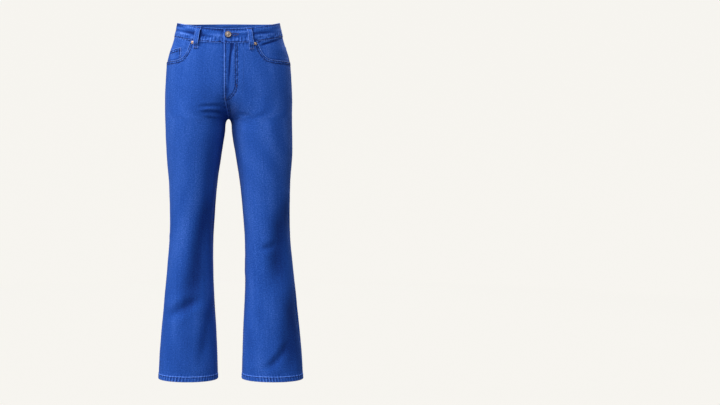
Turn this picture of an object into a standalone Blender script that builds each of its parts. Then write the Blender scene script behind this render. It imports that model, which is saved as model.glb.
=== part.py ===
"""Women's bootcut jeans in blue stretch denim, in the hollow form that they keep when worn.

+Z is up, the front faces -Y and the wearer's left is +X. The origin is the middle of the waist
opening, at half the height of the waistband, where the wearer holds the jeans up.
Sizes and tables are in millimetres, and the meshes are made in metres.
Every piece is laid on one form, the outer face of the worn cloth. A point of the form is given
by its side (1 the wearer's left, -1 the right), its face (-1 the front, 1 the back), its height
and its share of the way round, from the inner edge (0) to the outseam (1).
"""

import math

import bmesh
import bpy
import numpy as np

MM = 0.001
LEFT, RIGHT = 1, -1
FRONT, BACK = -1, 1

# Cloth
DENIM = 1.2
GAP = 0.3
BAND_CLOTH = 2.2
BAND_PROUD = 1.0
POCKET_CLOTH = 1.4
LOOP_CLOTH = 1.8

# Heights from the waist mount, which is at half the height of the band
SIDE_TOP = 20.0
SIDE_SEAM_HEIGHT = -21.0
FRONT_DIP = 25.0
BACK_RISE = 7.0
WAIST_CURVE = 0.7
YOKE_AT_SIDE = -55.0
YOKE_AT_CENTRE = -68.0
CROTCH = -252.0
HEM = -1007.0

# The crotch is a saddle, and this is how far from the middle it rounds over
CROTCH_ROUNDING = 6.0

# How far the hems hang to the wearer's left of the waist, and behind it
HEM_SWAY = 4.0
HEM_LEAN = 28.0

# The left leg stands a little fuller at its outseam, from one height to the other and below
LEFT_FULLNESS = 5.0
LEFT_FULL_FROM = -220.0
LEFT_FULL_AT = -360.0

# The worn form, one row for each height
SECTION_COLUMNS = ("height", "outer", "inner", "front", "back", "line", "squareness")
SECTIONS = (
    (40, 142, -142, 88, 82, -3, 2.15),
    (0, 149, -149, 95, 88, -3, 2.2),
    (-40, 159.5, -159.5, 102, 98, -2, 2.25),
    (-80, 173, -168, 106, 112, 0, 2.3),
    (-120, 178.5, -140, 107, 124, 3, 2.3),
    (-160, 181, -98, 106, 131, 6, 2.3),
    (-200, 182.5, -53, 103, 132, 8, 2.25),
    (-233, 182.5, -10, 100, 127, 9, 2.2),
    (-252, 182, 6, 98, 122, 8, 2.2),
    (-280, 181, 11, 97, 113, 7, 2.2),
    (-330, 179.5, 17.5, 94, 100, 4, 2.15),
    (-380, 176.5, 25, 90, 91, 1, 2.1),
    (-430, 172.5, 32.5, 85, 84, 0, 2.1),
    (-480, 171, 37.5, 79, 78, 0, 2.1),
    (-530, 170.5, 41.5, 74, 73, 0, 2.1),
    (-580, 171.5, 45, 70, 70, 0, 2.1),
    (-640, 176, 46.8, 66, 70, 2, 2.1),
    (-700, 182, 46.8, 63, 70, 4, 2.1),
    (-760, 188.5, 45, 61, 70, 5, 2.1),
    (-820, 194.5, 42, 60, 69, 5, 2.1),
    (-880, 200.5, 39, 59, 68, 5, 2.1),
    (-940, 205.5, 37.2, 59, 67, 5, 2.1),
    (-1007, 209.5, 35.5, 59, 66, 4, 2.1),
    (-1030, 211, 35, 59, 66, 4, 2.1),
)

# The creases, each along a line from (x0, z0) to (x1, z1) as seen from its face. The depth is
# of the trough, a negative one is a ridge, and the lip is the share of it that stands up beside.
FOLD_COLUMNS = ("side", "face", "x0", "z0", "x1", "z1", "width", "depth", "bow", "lip")
FOLDS = (
    (RIGHT, FRONT, -14, -222, -72, -218, 6, 2.2, 3, 0.5),
    (RIGHT, FRONT, -10, -240, -62, -238, 7, 2.4, 3, 0.5),
    (LEFT, FRONT, 12, -232, 66, -252, 8, 1.6, -3, 0.5),
    (RIGHT, FRONT, -70, -560, -168, -812, 20, 4.5, 8, 0.5),
    (RIGHT, FRONT, -58, -720, -104, -930, 13, 3.0, 5, 0.5),
    (LEFT, FRONT, 120, -640, 172, -600, 11, 4.0, 4, 0.7),
    (LEFT, FRONT, 168, -700, 128, -960, 18, 3.0, -6, 0.5),
    (LEFT, BACK, 20, -232, 92, -268, 15, 5.0, -8, 0.6),
    (LEFT, BACK, 96, -240, 28, -372, 16, 2.4, -8, 0.4),
    (RIGHT, BACK, -82, -232, -22, -300, 11, 5.5, 6, 0.7),
    (RIGHT, BACK, -138, -258, -58, -344, 13, 5.0, 7, 0.6),
    (LEFT, BACK, 110, -590, 150, -580, 7, 2.6, 3, 0.5),
    (LEFT, BACK, 54, -612, 118, -712, 15, 5.0, 7, 0.6),
    (LEFT, BACK, 52, -664, 88, -722, 9, 3.2, 3, 0.4),
    (RIGHT, BACK, -92, -578, -142, -592, 8, 3.0, 3, 0.5),
    (RIGHT, BACK, -140, -602, -170, -530, 10, 4.0, -3, 0.5),
    (RIGHT, BACK, -120, -640, -150, -612, 8, 2.0, 3, 0.5),
)
FOLD_FADE_AT_SEAMS = 0.05

# The fly: the left front laps over the right one along this line
FLY_EDGE = -13.0
FLY_END = -190.0
CROTCH_SEAM = -2.0
FLY_WIDTH = 36.0
FLY_CURVE_START = -157.0
FLY_BOTTOM = -203.0
FLY_RAISE = 0.9
LAP = 36.0

# The hip pockets: where each mouth starts under the band, how far it drops, and how soon
MOUTH_COLUMNS = ("side", "start", "low_end", "steepness")
MOUTHS = (
    (LEFT, 80.0, -91.0, 4.6),
    (RIGHT, 105.0, -90.0, 3.8),
)
FACING_TUCK = 22.0
FACING_DEPTH = 3.5

COIN_POCKET = {"top": -54.0, "start": 131.0, "slope": 6.0, "tuck": 12.0, "seam_gap": 2.0}

BACK_POCKET = {
    "top": -85.0,
    "corner": -203.0,
    "tip": -226.0,
    "inner_top": 46.0,
    "outer_top": 160.0,
    "inner_bottom": 71.0,
    "outer_bottom": 165.0,
}
BACK_POCKET_TIP = 0.55

LOOP_WIDTH = 13.5
LOOP_TACK = 5.0
LOOP_BEND = 10.0
LOOP_BELOW_SEAM = 21.0
LOOP_STAND_OFF = 6.6
LOOP_COLUMNS = ("name", "side", "face", "x_top", "x_bottom")
LOOPS = (
    ("belt_loop_front_left", LEFT, FRONT, 56.0, 64.0),
    ("belt_loop_front_right", RIGHT, FRONT, 81.0, 91.0),
    ("belt_loop_side_left", LEFT, BACK, 137.5, 149.5),
    ("belt_loop_side_right", RIGHT, BACK, 137.5, 149.5),
    ("belt_loop_back", LEFT, BACK, 0.0, 0.0),
)

HEM_DEPTH = 16.0
HEM_PROUD = 0.6
HEM_CLOTH = 2.8

# Radius and height above the cloth along the button's and a rivet's face
BUTTON_X, BUTTON_Z = -1.0, -22.0
BUTTON_PROFILE = (
    (3.6, 0.0),
    (3.6, 2.0),
    (8.6, 2.2),
    (9.1, 2.8),
    (8.7, 3.7),
    (7.4, 4.0),
    (6.6, 3.6),
    (3.4, 3.5),
    (2.6, 3.9),
)
RIVET_BELOW_SEAM = 6.5
RIVET_FROM_MOUTH = 5.0
RIVET_PROFILE = ((4.5, 0.0), (4.6, 0.5), (4.0, 1.1), (2.4, 1.4), (1.8, 2.2))
TURNED_SIDES = 24

# Mesh steps
TRUNK_ROWS, LEG_ROWS, PANEL_COLUMNS = 11, 28, 13
RING_SAMPLES = 161

DENIM_BLUE = (0.035, 0.105, 0.44, 1.0)
FINISHES = {
    "denim": (DENIM_BLUE, 0.85, 0.0),
    "button_metal": ((0.30, 0.26, 0.24, 1.0), 0.35, 1.0),
    "rivet_metal": ((0.62, 0.45, 0.33, 1.0), 0.3, 1.0),
}


def rows_of(columns, rows):
    """The rows of a table as dictionaries."""
    return [dict(zip(columns, row)) for row in rows]


def spline(knots, values):
    """The natural cubic curve through the values, as a function of the knots' variable."""
    order = np.argsort(knots)
    x, y = np.array(knots, float)[order], np.array(values, float)[order]
    step, count = np.diff(x), len(x)
    system, right = np.eye(count), np.zeros(count)
    for i in range(1, count - 1):
        system[i, i - 1 : i + 2] = step[i - 1], 2 * (step[i - 1] + step[i]), step[i]
        right[i] = 6 * ((y[i + 1] - y[i]) / step[i] - (y[i] - y[i - 1]) / step[i - 1])
    bend = np.linalg.solve(system, right)

    def at(value):
        i = int(np.clip(np.searchsorted(x, value) - 1, 0, count - 2))
        before, after = value - x[i], x[i + 1] - value
        return (
            (bend[i] * after**3 + bend[i + 1] * before**3) / (6 * step[i])
            + (y[i] / step[i] - bend[i] * step[i] / 6) * after
            + (y[i + 1] / step[i] - bend[i + 1] * step[i] / 6) * before
        )

    return at


HEIGHTS = [row[0] for row in SECTIONS]
SECTION_CURVES = {
    name: spline(HEIGHTS, [row[i] for row in SECTIONS])
    for i, name in enumerate(SECTION_COLUMNS)
    if name != "height"
}


def smooth_step(value):
    """0 below 0, 1 above 1, and smooth between."""
    value = np.clip(value, 0.0, 1.0)
    return value * value * (3 - 2 * value)


def outline(side, face, height):
    """x and y of one leg's outline at a height, from its inner edge to the outseam.

    The outline is a superellipse. Above the crotch it reaches past the middle and is cut there.
    """
    at = {name: float(curve(height)) for name, curve in SECTION_CURVES.items()}
    if side == LEFT:
        full = smooth_step((LEFT_FULL_FROM - height) / (LEFT_FULL_FROM - LEFT_FULL_AT))
        at["outer"] += LEFT_FULLNESS * float(full)
    reach = math.hypot(at["outer"], CROTCH_ROUNDING)
    middle, half = (reach + at["inner"]) / 2, (reach - at["inner"]) / 2
    depth = at["front"] + at["line"] if face == FRONT else at["back"] - at["line"]
    power = 2 / at["squareness"]
    start = (max(at["inner"], CROTCH_ROUNDING) - middle) / half
    start = math.copysign(min(abs(start), 1.0) ** (1 / power), start)
    angle = np.linspace(math.acos(start), 0.0, RING_SAMPLES)
    across = np.cos(angle)
    x = middle + half * np.sign(across) * np.abs(across) ** power
    y = at["line"] + face * depth * np.abs(np.sin(angle)) ** power
    return np.sqrt(np.maximum(x * x - CROTCH_ROUNDING**2, 0.0)), y


def hang(height):
    """How far the legs hang towards the wearer's left at a height, and back."""
    down = height / HEM
    sway = HEM_SWAY * float(smooth_step((CROTCH - height) / (CROTCH - HEM)))
    return sway, HEM_LEAN * max(down, 0.0)


def fold_depth(side, face, x, height, share):
    """How far the creases push the cloth in at a point, in mm."""
    depth = 0.0
    for fold in FOLD_ROWS[side, face]:
        along_x, along_z = fold["x1"] - fold["x0"], fold["z1"] - fold["z0"]
        length = math.hypot(along_x, along_z)
        from_x, from_z = x - fold["x0"], height - fold["z0"]
        part = (from_x * along_x + from_z * along_z) / length**2
        if not -0.2 < part < 1.2:
            continue
        off = (from_x * along_z - from_z * along_x) / length
        off = (off - 4 * fold["bow"] * part * (1 - part)) / fold["width"]
        ends = smooth_step((part + 0.2) / 0.5) * smooth_step((1.2 - part) / 0.5)
        trough = math.exp(-(off**2))
        lips = fold["lip"] * math.exp(-(((abs(off) - 2.0) / 0.9) ** 2))
        depth += fold["depth"] * float(ends) * (trough - lips)
    edge = min(share, 1 - share) / FOLD_FADE_AT_SEAMS
    return depth * float(smooth_step(edge))


def form_point(side, face, height, share):
    """A point of the form, without creases."""
    x, y = outline(side, face, height)
    length = np.concatenate([[0.0], np.cumsum(np.hypot(np.diff(x), np.diff(y)))])
    at = share * length[-1]
    x, y = float(np.interp(at, length, x)), float(np.interp(at, length, y))
    sway, lean = hang(height)
    return np.array([side * x + sway, y + lean, height])


def share_at(face, height, x, side=RIGHT):
    """The share of the way round at which the outline is x from the middle."""
    xs, ys = outline(side, face, height)
    length = np.concatenate([[0.0], np.cumsum(np.hypot(np.diff(xs), np.diff(ys)))])
    rising = np.maximum.accumulate(xs)
    return float(np.interp(x, rising, length / length[-1]))


def arc_length(face, height):
    """The length of the outline from its inner edge to the outseam."""
    x, y = outline(RIGHT, face, height)
    return float(np.hypot(np.diff(x), np.diff(y)).sum())


def place(side, face, height, share, out=0.0):
    """A point of the worn cloth, moved out from its outer face by some mm."""
    step_share, step_height = 0.004, 0.5
    low, high = max(share - step_share, 0.0), min(share + step_share, 1.0)
    point = form_point(side, face, height, share)
    around = form_point(side, face, height, high) - form_point(side, face, height, low)
    up = form_point(side, face, height + step_height, share) - form_point(
        side, face, height - step_height, share
    )
    normal = np.cross(around, up) * -side * face
    normal /= np.linalg.norm(normal)
    depth = fold_depth(side, face, point[0], height, share)
    return point + normal * (out - depth)


def lap_line(height):
    """x of the line where the two fronts meet: the fly's edge, then the crotch seam."""
    along = smooth_step((FLY_END - height) / (FLY_END - CROTCH))
    return FLY_EDGE + (CROTCH_SEAM - FLY_EDGE) * float(along)


def front_start(side, height):
    """The share at which a front panel starts, at the fly's edge or the inseam."""
    if height <= CROTCH:
        return 0.0
    return side * lap_line(height)


def front_spot(side, height, share):
    """The side and share of the form under a share of a front panel, from the fly's edge.

    Near the fly's edge the left front reaches past the middle, onto the right half of the form.
    """
    start = front_start(side, height)
    if start < 0:
        crossing = -start / (arc_length(FRONT, height) - start)
        if share < crossing:
            over = -start * (1 - share / crossing)
            return -side, share_at(FRONT, height, over)
        return side, (share - crossing) / (1 - crossing)
    first = share_at(FRONT, height, start) if start > 0 else 0.0
    return side, first + (1 - first) * share


def front_place(side, height, share, out=0.0):
    """A point of a front panel, whose share runs from the fly's edge to the outseam."""
    form_side, form_share = front_spot(side, height, share)
    return place(form_side, FRONT, height, form_share, out)


def front_share(side, height, x):
    """The share of a front panel at which it is x from the middle, on its own side."""
    start = front_start(side, height)
    own = share_at(FRONT, height, x)
    if start < 0:
        crossing = -start / (arc_length(FRONT, height) - start)
        return crossing + (1 - crossing) * own
    first = share_at(FRONT, height, start) if start > 0 else 0.0
    return (own - first) / (1 - first)


def waist_rise(face, share):
    """How much higher the waist's edges are than at the sides, in front less than 0."""
    x = np.interp(share, *ACROSS[face])
    rise = math.cos(math.pi / 2 * x) ** WAIST_CURVE
    return rise * (-FRONT_DIP if face == FRONT else BACK_RISE)


def seam_height(face, share):
    """The band's lower edge at a share of the way round."""
    return SIDE_SEAM_HEIGHT + waist_rise(face, share)


def top_height(face, share):
    """The band's upper edge at a share of the way round."""
    return SIDE_TOP + waist_rise(face, share)


def yoke_height(share):
    """The yoke's lower edge at a share of the way round."""
    return YOKE_AT_CENTRE + (YOKE_AT_SIDE - YOKE_AT_CENTRE) * share


def across_table(face):
    """Shares and the distance from the middle at each, as a part of the outline's width."""
    x, y = outline(RIGHT, face, SIDE_SEAM_HEIGHT)
    length = np.concatenate([[0.0], np.cumsum(np.hypot(np.diff(x), np.diff(y)))])
    return length / length[-1], np.minimum(x / x[-1], 1.0)


def seam_at(face, x):
    """The band's lower edge at a distance from the middle."""
    return seam_height(face, share_at(face, SIDE_SEAM_HEIGHT, x))


def mouth_height(mouth, x):
    """The pocket mouth's edge at a distance from the middle."""
    top = seam_at(FRONT, mouth["start"])
    side = SECTION_CURVES["outer"](mouth["low_end"])
    part = np.clip((x - mouth["start"]) / (side - mouth["start"]), 0.0, 1.0)
    drop = math.tanh(mouth["steepness"] * part) / math.tanh(mouth["steepness"])
    return top + (mouth["low_end"] - top) * drop


def front_top(side, height, share):
    """The upper edge of a front panel: the band's seam, then the pocket's mouth."""
    form_side, form_share = front_spot(side, height, share)
    seam = seam_height(FRONT, form_share)
    x = side * form_point(form_side, FRONT, height, form_share)[0]
    if x > MOUTH_OF[side]["start"]:
        return min(mouth_height(MOUTH_OF[side], x), seam) - GAP
    return seam - GAP


def wall(name, outer, inner, finish):
    """A closed wall between two grids of points, given in mm and as rows of columns."""
    outer, inner = np.array(outer), np.array(inner)
    rows, columns = outer.shape[:2]
    mesh = bpy.data.meshes.new(name)
    work = bmesh.new()
    skins = [
        [[work.verts.new(point * MM) for point in row] for row in grid]
        for grid in (outer, inner)
    ]
    for i in range(rows - 1):
        for j in range(columns - 1):
            corners = ((i, j), (i, j + 1), (i + 1, j + 1), (i + 1, j))
            work.faces.new([skins[0][a][b] for a, b in corners])
            work.faces.new([skins[1][a][b] for a, b in reversed(corners)])
    rim = [(0, j) for j in range(columns)]
    rim += [(i, columns - 1) for i in range(1, rows)]
    rim += [(rows - 1, j) for j in range(columns - 2, -1, -1)]
    rim += [(i, 0) for i in range(rows - 2, 0, -1)]
    for (a, b), (c, d) in zip(rim, rim[1:] + rim[:1]):
        work.faces.new([skins[0][a][b], skins[1][a][b], skins[1][c][d], skins[0][c][d]])
    piece = finished(name, mesh, work, finish)
    piece["outer_count"] = rows * columns
    return piece


def finished(name, mesh, work, finish):
    """Turns a bmesh into an object with its faces outwards and its material."""
    bmesh.ops.triangulate(work, faces=work.faces)
    bmesh.ops.recalc_face_normals(work, faces=work.faces)
    if work.calc_volume(signed=True) < 0:
        bmesh.ops.reverse_faces(work, faces=work.faces)
    work.to_mesh(mesh)
    work.free()
    mesh.shade_smooth()
    mesh.set_sharp_from_angle(angle=math.radians(40))
    mesh.materials.append(material(finish))
    piece = bpy.data.objects.new(name, mesh)
    bpy.context.scene.collection.objects.link(piece)
    piece.parent = bpy.data.objects["jeans"]
    return piece


def material(name):
    """The named finish as a material, made once."""
    if name in bpy.data.materials:
        return bpy.data.materials[name]
    colour, roughness, metallic = FINISHES[name]
    made = bpy.data.materials.new(name)
    made.use_nodes = True
    shader = made.node_tree.nodes["Principled BSDF"]
    shader.inputs["Base Color"].default_value = colour
    shader.inputs["Roughness"].default_value = roughness
    shader.inputs["Metallic"].default_value = metallic
    return made


def leg_drop(row, share):
    """How far below the crotch a leg's row lies. Rows crowd where the inseam starts."""
    drop = (CROTCH - HEM) * row / LEG_ROWS
    crowded = drop * (1 - math.exp(-((drop / 70) ** 1.5)))
    return crowded + (drop - crowded) * (1 - (1 - share) ** 2)


def trunk_drop(row, share):
    """The part of the way from a panel's upper edge to the crotch, crowded at the crotch."""
    part = row / TRUNK_ROWS
    return part + (part * (2 - part) - part) * (1 - share) ** 2


def panel_heights(top, share):
    """The heights of a panel's rows at one column, from its upper edge to the hem."""
    trunk = [top + (CROTCH - top) * trunk_drop(row, share) for row in range(TRUNK_ROWS)]
    legs = [CROTCH - leg_drop(row, share) for row in range(LEG_ROWS)]
    return trunk + legs + [HEM + HEM_DEPTH, HEM + HEM_DEPTH - 1.0, HEM]


def hem_layers(height):
    """How far the turned-up hem stands out, and the wall's thickness there."""
    if height > HEM + HEM_DEPTH - 0.5:
        return 0.0, DENIM
    return HEM_PROUD, HEM_CLOTH


def fly_raise(side, height, x):
    """How far the fly's folded layers lift the left front."""
    if side == RIGHT or height < FLY_BOTTOM:
        return 0.0
    width = FLY_WIDTH
    if height < FLY_CURVE_START:
        part = (FLY_CURVE_START - height) / (FLY_CURVE_START - FLY_BOTTOM)
        width = FLY_WIDTH * math.sqrt(1 - part**2)
    return FLY_RAISE * float(smooth_step((width - (x - lap_line(height))) / 8))


def panel(name, column_points):
    """A leg's panel from its columns, each a list of pairs of outer and inner points."""
    outer = [[pair[0] for pair in row] for row in zip(*column_points)]
    inner = [[pair[1] for pair in row] for row in zip(*column_points)]
    return wall(name, outer, inner, "denim")


def front_panel(side, name):
    """A front leg: the band's seam and the pocket's mouth above, the hem below."""
    mouth = MOUTH_OF[side]
    side_line = SECTION_CURVES["outer"](mouth["low_end"])
    near = [0.0, 0.22, 0.45, 0.7, 0.95]
    level = seam_at(FRONT, mouth["start"])
    shares = [front_share(side, level, mouth["start"]) * part for part in near]
    for step in (0.05, 0.14, 0.26, 0.42):
        x = mouth["start"] + (side_line - mouth["start"]) * step
        shares.append(front_share(side, mouth_height(mouth, x), x))
    shares += list(np.linspace(shares[-1], 1.0, 6)[1:])
    columns = []
    for share in shares:
        height = SIDE_SEAM_HEIGHT
        for _ in range(20):
            height = front_top(side, height, share)
        edge = GAP / 2 / arc_length(FRONT, height)
        inset = min(max(share, edge), 1 - edge)
        points = []
        for level in panel_heights(height, share):
            x = front_place(side, level, inset)[0]
            lift = fly_raise(side, level, x) if level > CROTCH else 0.0
            proud, cloth = hem_layers(level)
            out = max(lift, proud)
            points.append(
                (
                    front_place(side, level, inset, out),
                    front_place(side, level, inset, proud - cloth),
                )
            )
        columns.append(points)
    return panel(name, columns)


def back_panel(side, name):
    """A back leg: the yoke's seam above, the hem below."""
    columns = []
    for share in np.linspace(0.0, 1.0, PANEL_COLUMNS):
        height = yoke_height(share) - GAP
        edge = GAP / 2 / arc_length(BACK, height)
        inset = min(max(share, edge), 1 - edge)
        points = []
        for level in panel_heights(height, share):
            proud, cloth = hem_layers(level)
            points.append(
                (
                    place(side, BACK, level, inset, proud),
                    place(side, BACK, level, inset, proud - cloth),
                )
            )
        columns.append(points)
    return panel(name, columns)


def yoke(side, name):
    """The shaped piece between the band and a back leg."""
    outer, inner = [], []
    for row in range(4):
        outer.append([])
        inner.append([])
        for share in np.linspace(0.0, 1.0, PANEL_COLUMNS):
            top, bottom = seam_height(BACK, share) - GAP, yoke_height(share)
            height = top + (bottom - top) * row / 3
            edge = GAP / 2 / arc_length(BACK, height)
            inset = min(max(share, edge), 1 - edge)
            outer[-1].append(place(side, BACK, height, inset))
            inner[-1].append(place(side, BACK, height, inset, -DENIM))
    return wall(name, outer, inner, "denim")


def facing_inset(mouth, x, height):
    """How far a pocket facing lies inside the form: deep under the mouth, flush at the seams."""
    above = height - mouth_height(mouth, x)
    return FACING_DEPTH * float(smooth_step((34 - above) / 26))


def facing_foot(side, mouth, share):
    """The facing's lower edge at a share of the way round, below the mouth by the tuck."""
    height = mouth["low_end"]
    for _ in range(20):
        x = abs(form_point(side, FRONT, height, share)[0])
        height = mouth_height(mouth, max(x, mouth["start"])) - FACING_TUCK
    return height


def facing(side, name):
    """The pocket's facing that shows in its mouth, tucked under the front panel."""
    mouth = MOUTH_OF[side]
    outer, inner = [], []
    for row in range(7):
        outer.append([])
        inner.append([])
        for column in range(9):
            part = column / 8
            start = mouth["start"] - FACING_TUCK / 2
            first = share_at(FRONT, SIDE_SEAM_HEIGHT, start)
            share = first + (1 - GAP / 2 / 200 - first) * part
            top = seam_height(FRONT, share) - GAP
            bottom = facing_foot(side, mouth, share)
            height = top + (bottom - top) * row / 6
            x = abs(form_point(side, FRONT, height, share)[0])
            inset = facing_inset(mouth, x, height)
            if x < mouth["start"] + 4:
                inset = FACING_DEPTH
            outer[-1].append(place(side, FRONT, height, share, -inset))
            inner[-1].append(place(side, FRONT, height, share, -inset - DENIM))
    return wall(name, outer, inner, "denim")


def at_arc(face, arc, height, out=0.0):
    """A point of the cloth by its way round from the middle, more than 0 on the left."""
    side = LEFT if arc >= 0 else RIGHT
    return place(side, face, height, min(abs(arc) / arc_length(face, height), 1.0), out)


def arc_at(side, face, height, x):
    """The way round from the middle to a point at x from it, with the side's sign."""
    return side * share_at(face, height, x) * arc_length(face, height)


def band_stations():
    """The band's path: face, side, share and how far it stands out, from the lap's edge.

    It goes over the left front, round the back and the right front, and ends under the lap.
    """
    level = SIDE_SEAM_HEIGHT
    edge = share_at(FRONT, level, -FLY_EDGE)
    end = share_at(FRONT, level, LAP + FLY_EDGE)
    under = BAND_PROUD - BAND_CLOTH - GAP
    stations = [(RIGHT, FRONT, share, BAND_PROUD) for share in np.linspace(edge, 0.01, 2)]
    stations += [(LEFT, FRONT, share, BAND_PROUD) for share in np.linspace(0.05, 1.0, 13)]
    stations += [(LEFT, BACK, share, BAND_PROUD) for share in np.linspace(0.93, 0.0, 13)]
    stations += [(RIGHT, BACK, share, BAND_PROUD) for share in np.linspace(0.07, 1.0, 13)]
    stations += [(RIGHT, FRONT, share, BAND_PROUD) for share in np.linspace(0.92, 0.26, 9)]
    stations += [
        (RIGHT, FRONT, edge * 1.9, BAND_PROUD),
        (RIGHT, FRONT, edge * 1.4, under),
        (RIGHT, FRONT, edge * 0.7, under),
        (LEFT, FRONT, 0.01, under),
        (LEFT, FRONT, end, under),
    ]
    return stations


def waistband():
    """The waistband in one piece, its left end lapped over its right one."""
    outer, inner = [], []
    for row in range(4):
        outer.append([])
        inner.append([])
        for side, face, share, out in band_stations():
            bottom, top = seam_height(face, share), top_height(face, share)
            height = bottom + (top - bottom) * row / 3
            outer[-1].append(place(side, face, height, share, out))
            inner[-1].append(place(side, face, height, share, out - BAND_CLOTH))
    return wall("waistband", outer, inner, "denim")


def patch(name, base, corners, cloth, side):
    """A piece cut from the outer skin of the piece under it, and laid on it.

    The corners are x and height as seen from the face, with x on the wearer's own side, and go
    round a convex outline.
    """
    work = bmesh.new()
    work.from_mesh(base.data)
    inside = [v for v in work.verts if v.index >= base["outer_count"]]
    bmesh.ops.delete(work, geom=inside, context="VERTS")
    points = [np.array((side * x, 0.0, height)) * MM for x, height in corners]
    middle = sum(points) / len(points)
    for start, end in zip(points, points[1:] + points[:1]):
        away = np.cross(end - start, (0, 1, 0))
        away *= np.sign(np.dot(start - middle, away))
        bmesh.ops.bisect_plane(
            work,
            geom=work.verts[:] + work.edges[:] + work.faces[:],
            dist=1e-6,
            plane_co=start,
            plane_no=away,
            clear_outer=True,
        )
    work.normal_update()
    skin = bmesh.new()
    pairs = {
        v: [skin.verts.new(v.co + v.normal * (GAP + up) * MM) for up in (0.0, cloth)]
        for v in work.verts
    }
    for face in work.faces:
        skin.faces.new([pairs[v][1] for v in face.verts])
        skin.faces.new([pairs[v][0] for v in reversed(face.verts)])
    for edge in work.edges:
        if edge.is_boundary:
            loop = edge.link_loops[0]
            a, b = pairs[loop.vert], pairs[loop.link_loop_next.vert]
            skin.faces.new([a[0], b[0], b[1], a[1]])
    work.free()
    return finished(name, bpy.data.meshes.new(name), skin, "denim")


def coin_pocket(base):
    """The small pocket on the right facing, with its foot inside the front panel."""
    mouth = MOUTH_OF[RIGHT]
    start, top = COIN_POCKET["start"], COIN_POCKET["top"]
    side_line = SECTION_CURVES["outer"](top) - COIN_POCKET["seam_gap"]
    foot = mouth["low_end"] - COIN_POCKET["tuck"]
    corners = (
        (start, top),
        (side_line, top - COIN_POCKET["slope"]),
        (side_line + 5, foot),
        (start + 8, foot),
    )
    return patch("coin_pocket", base, corners, DENIM, RIGHT)


def back_pocket(side, name, base):
    """A patch pocket on a back leg, straight above and pointed below."""
    size = BACK_POCKET
    tip = size["inner_bottom"] + BACK_POCKET_TIP * (size["outer_bottom"] - size["inner_bottom"])
    corners = (
        (size["inner_top"], size["top"]),
        (size["outer_top"], size["top"]),
        (size["outer_bottom"], size["corner"]),
        (tip, size["tip"]),
        (size["inner_bottom"], size["corner"]),
    )
    return patch(name, base, corners, POCKET_CLOTH, side)


def belt_loop(loop):
    """A belt loop, tacked at both ends and standing off the band between them."""
    side, face = loop["side"], loop["face"]
    top = top_height(face, share_at(face, SIDE_TOP, loop["x_top"])) - GAP
    seam = seam_at(face, loop["x_bottom"])
    bottom = seam - LOOP_BELOW_SEAM
    tacked = (top, top - LOOP_TACK, top - LOOP_TACK - LOOP_BEND)
    raised = (bottom + LOOP_TACK + LOOP_BEND, bottom + LOOP_TACK, bottom)
    heights = [
        tacked[0],
        tacked[1],
        (tacked[1] + tacked[2]) / 2,
        tacked[2],
        (tacked[2] + raised[0]) / 2,
        raised[0],
        (raised[0] + raised[1]) / 2,
        raised[1],
        raised[2],
    ]
    outer, inner = [], []
    for height in heights:
        outer.append([])
        inner.append([])
        x = loop["x_bottom"] + (loop["x_top"] - loop["x_bottom"]) * (height - bottom) / (
            top - bottom
        )
        middle = arc_at(side, face, height, x)
        clear = min(top - LOOP_TACK - height, height - bottom - LOOP_TACK)
        out = GAP + LOOP_STAND_OFF * float(smooth_step(clear / LOOP_BEND))
        if height > seam - 4:
            out += BAND_PROUD
        for across in (-0.5, -0.17, 0.17, 0.5):
            arc = middle + across * LOOP_WIDTH
            outer[-1].append(at_arc(face, arc, height, out + LOOP_CLOTH))
            inner[-1].append(at_arc(face, arc, height, out))
    return wall(loop["name"], outer, inner, "denim")


def turned(name, profile, foot, away, finish):
    """A solid turned about the axis from foot in the direction away."""
    axis = (away - foot) / np.linalg.norm(away - foot)
    right = np.cross(axis, (0, 0, 1))
    right /= np.linalg.norm(right)
    up = np.cross(right, axis)
    mesh = bpy.data.meshes.new(name)
    work = bmesh.new()
    rings = []
    for radius, height in profile:
        ring = []
        for i in range(TURNED_SIDES):
            turn = 2 * math.pi * i / TURNED_SIDES
            spoke = math.cos(turn) * right + math.sin(turn) * up
            ring.append(work.verts.new((foot + axis * height + spoke * radius) * MM))
        rings.append(ring)
    for low, high in zip(rings, rings[1:]):
        for i in range(TURNED_SIDES):
            j = (i + 1) % TURNED_SIDES
            work.faces.new([low[i], low[j], high[j], high[i]])
    work.faces.new(list(reversed(rings[0])))
    work.faces.new(rings[-1])
    return finished(name, mesh, work, finish)


def waist_button():
    """The shank button that closes the band."""
    arc = arc_at(RIGHT, FRONT, BUTTON_Z, -BUTTON_X)
    foot = at_arc(FRONT, arc, BUTTON_Z, BAND_PROUD + GAP)
    away = at_arc(FRONT, arc, BUTTON_Z, BAND_PROUD + GAP + 5)
    return turned("waist_button", BUTTON_PROFILE, foot, away, "button_metal")


def rivet(side, name):
    """The rivet at the inner end of a pocket's mouth."""
    x = MOUTH_OF[side]["start"] - RIVET_FROM_MOUTH
    height = seam_at(FRONT, x) - RIVET_BELOW_SEAM
    arc = arc_at(side, FRONT, height, x)
    foot = at_arc(FRONT, arc, height, GAP)
    away = at_arc(FRONT, arc, height, GAP + 5)
    return turned(name, RIVET_PROFILE, foot, away, "rivet_metal")


def main():
    """Builds every piece of the jeans under one empty."""
    for old in list(bpy.data.objects):
        bpy.data.objects.remove(old)
    bpy.context.scene.collection.objects.link(bpy.data.objects.new("jeans", None))
    for side, word in ((LEFT, "left"), (RIGHT, "right")):
        front_panel(side, "front_panel_" + word)
        leg = back_panel(side, "back_panel_" + word)
        yoke(side, "yoke_" + word)
        under = facing(side, "pocket_facing_" + word)
        back_pocket(side, "back_pocket_" + word, leg)
        rivet(side, "rivet_" + word)
        if side == RIGHT:
            coin_pocket(under)
    waistband()
    waist_button()
    for loop in rows_of(LOOP_COLUMNS, LOOPS):
        belt_loop(loop)


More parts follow.
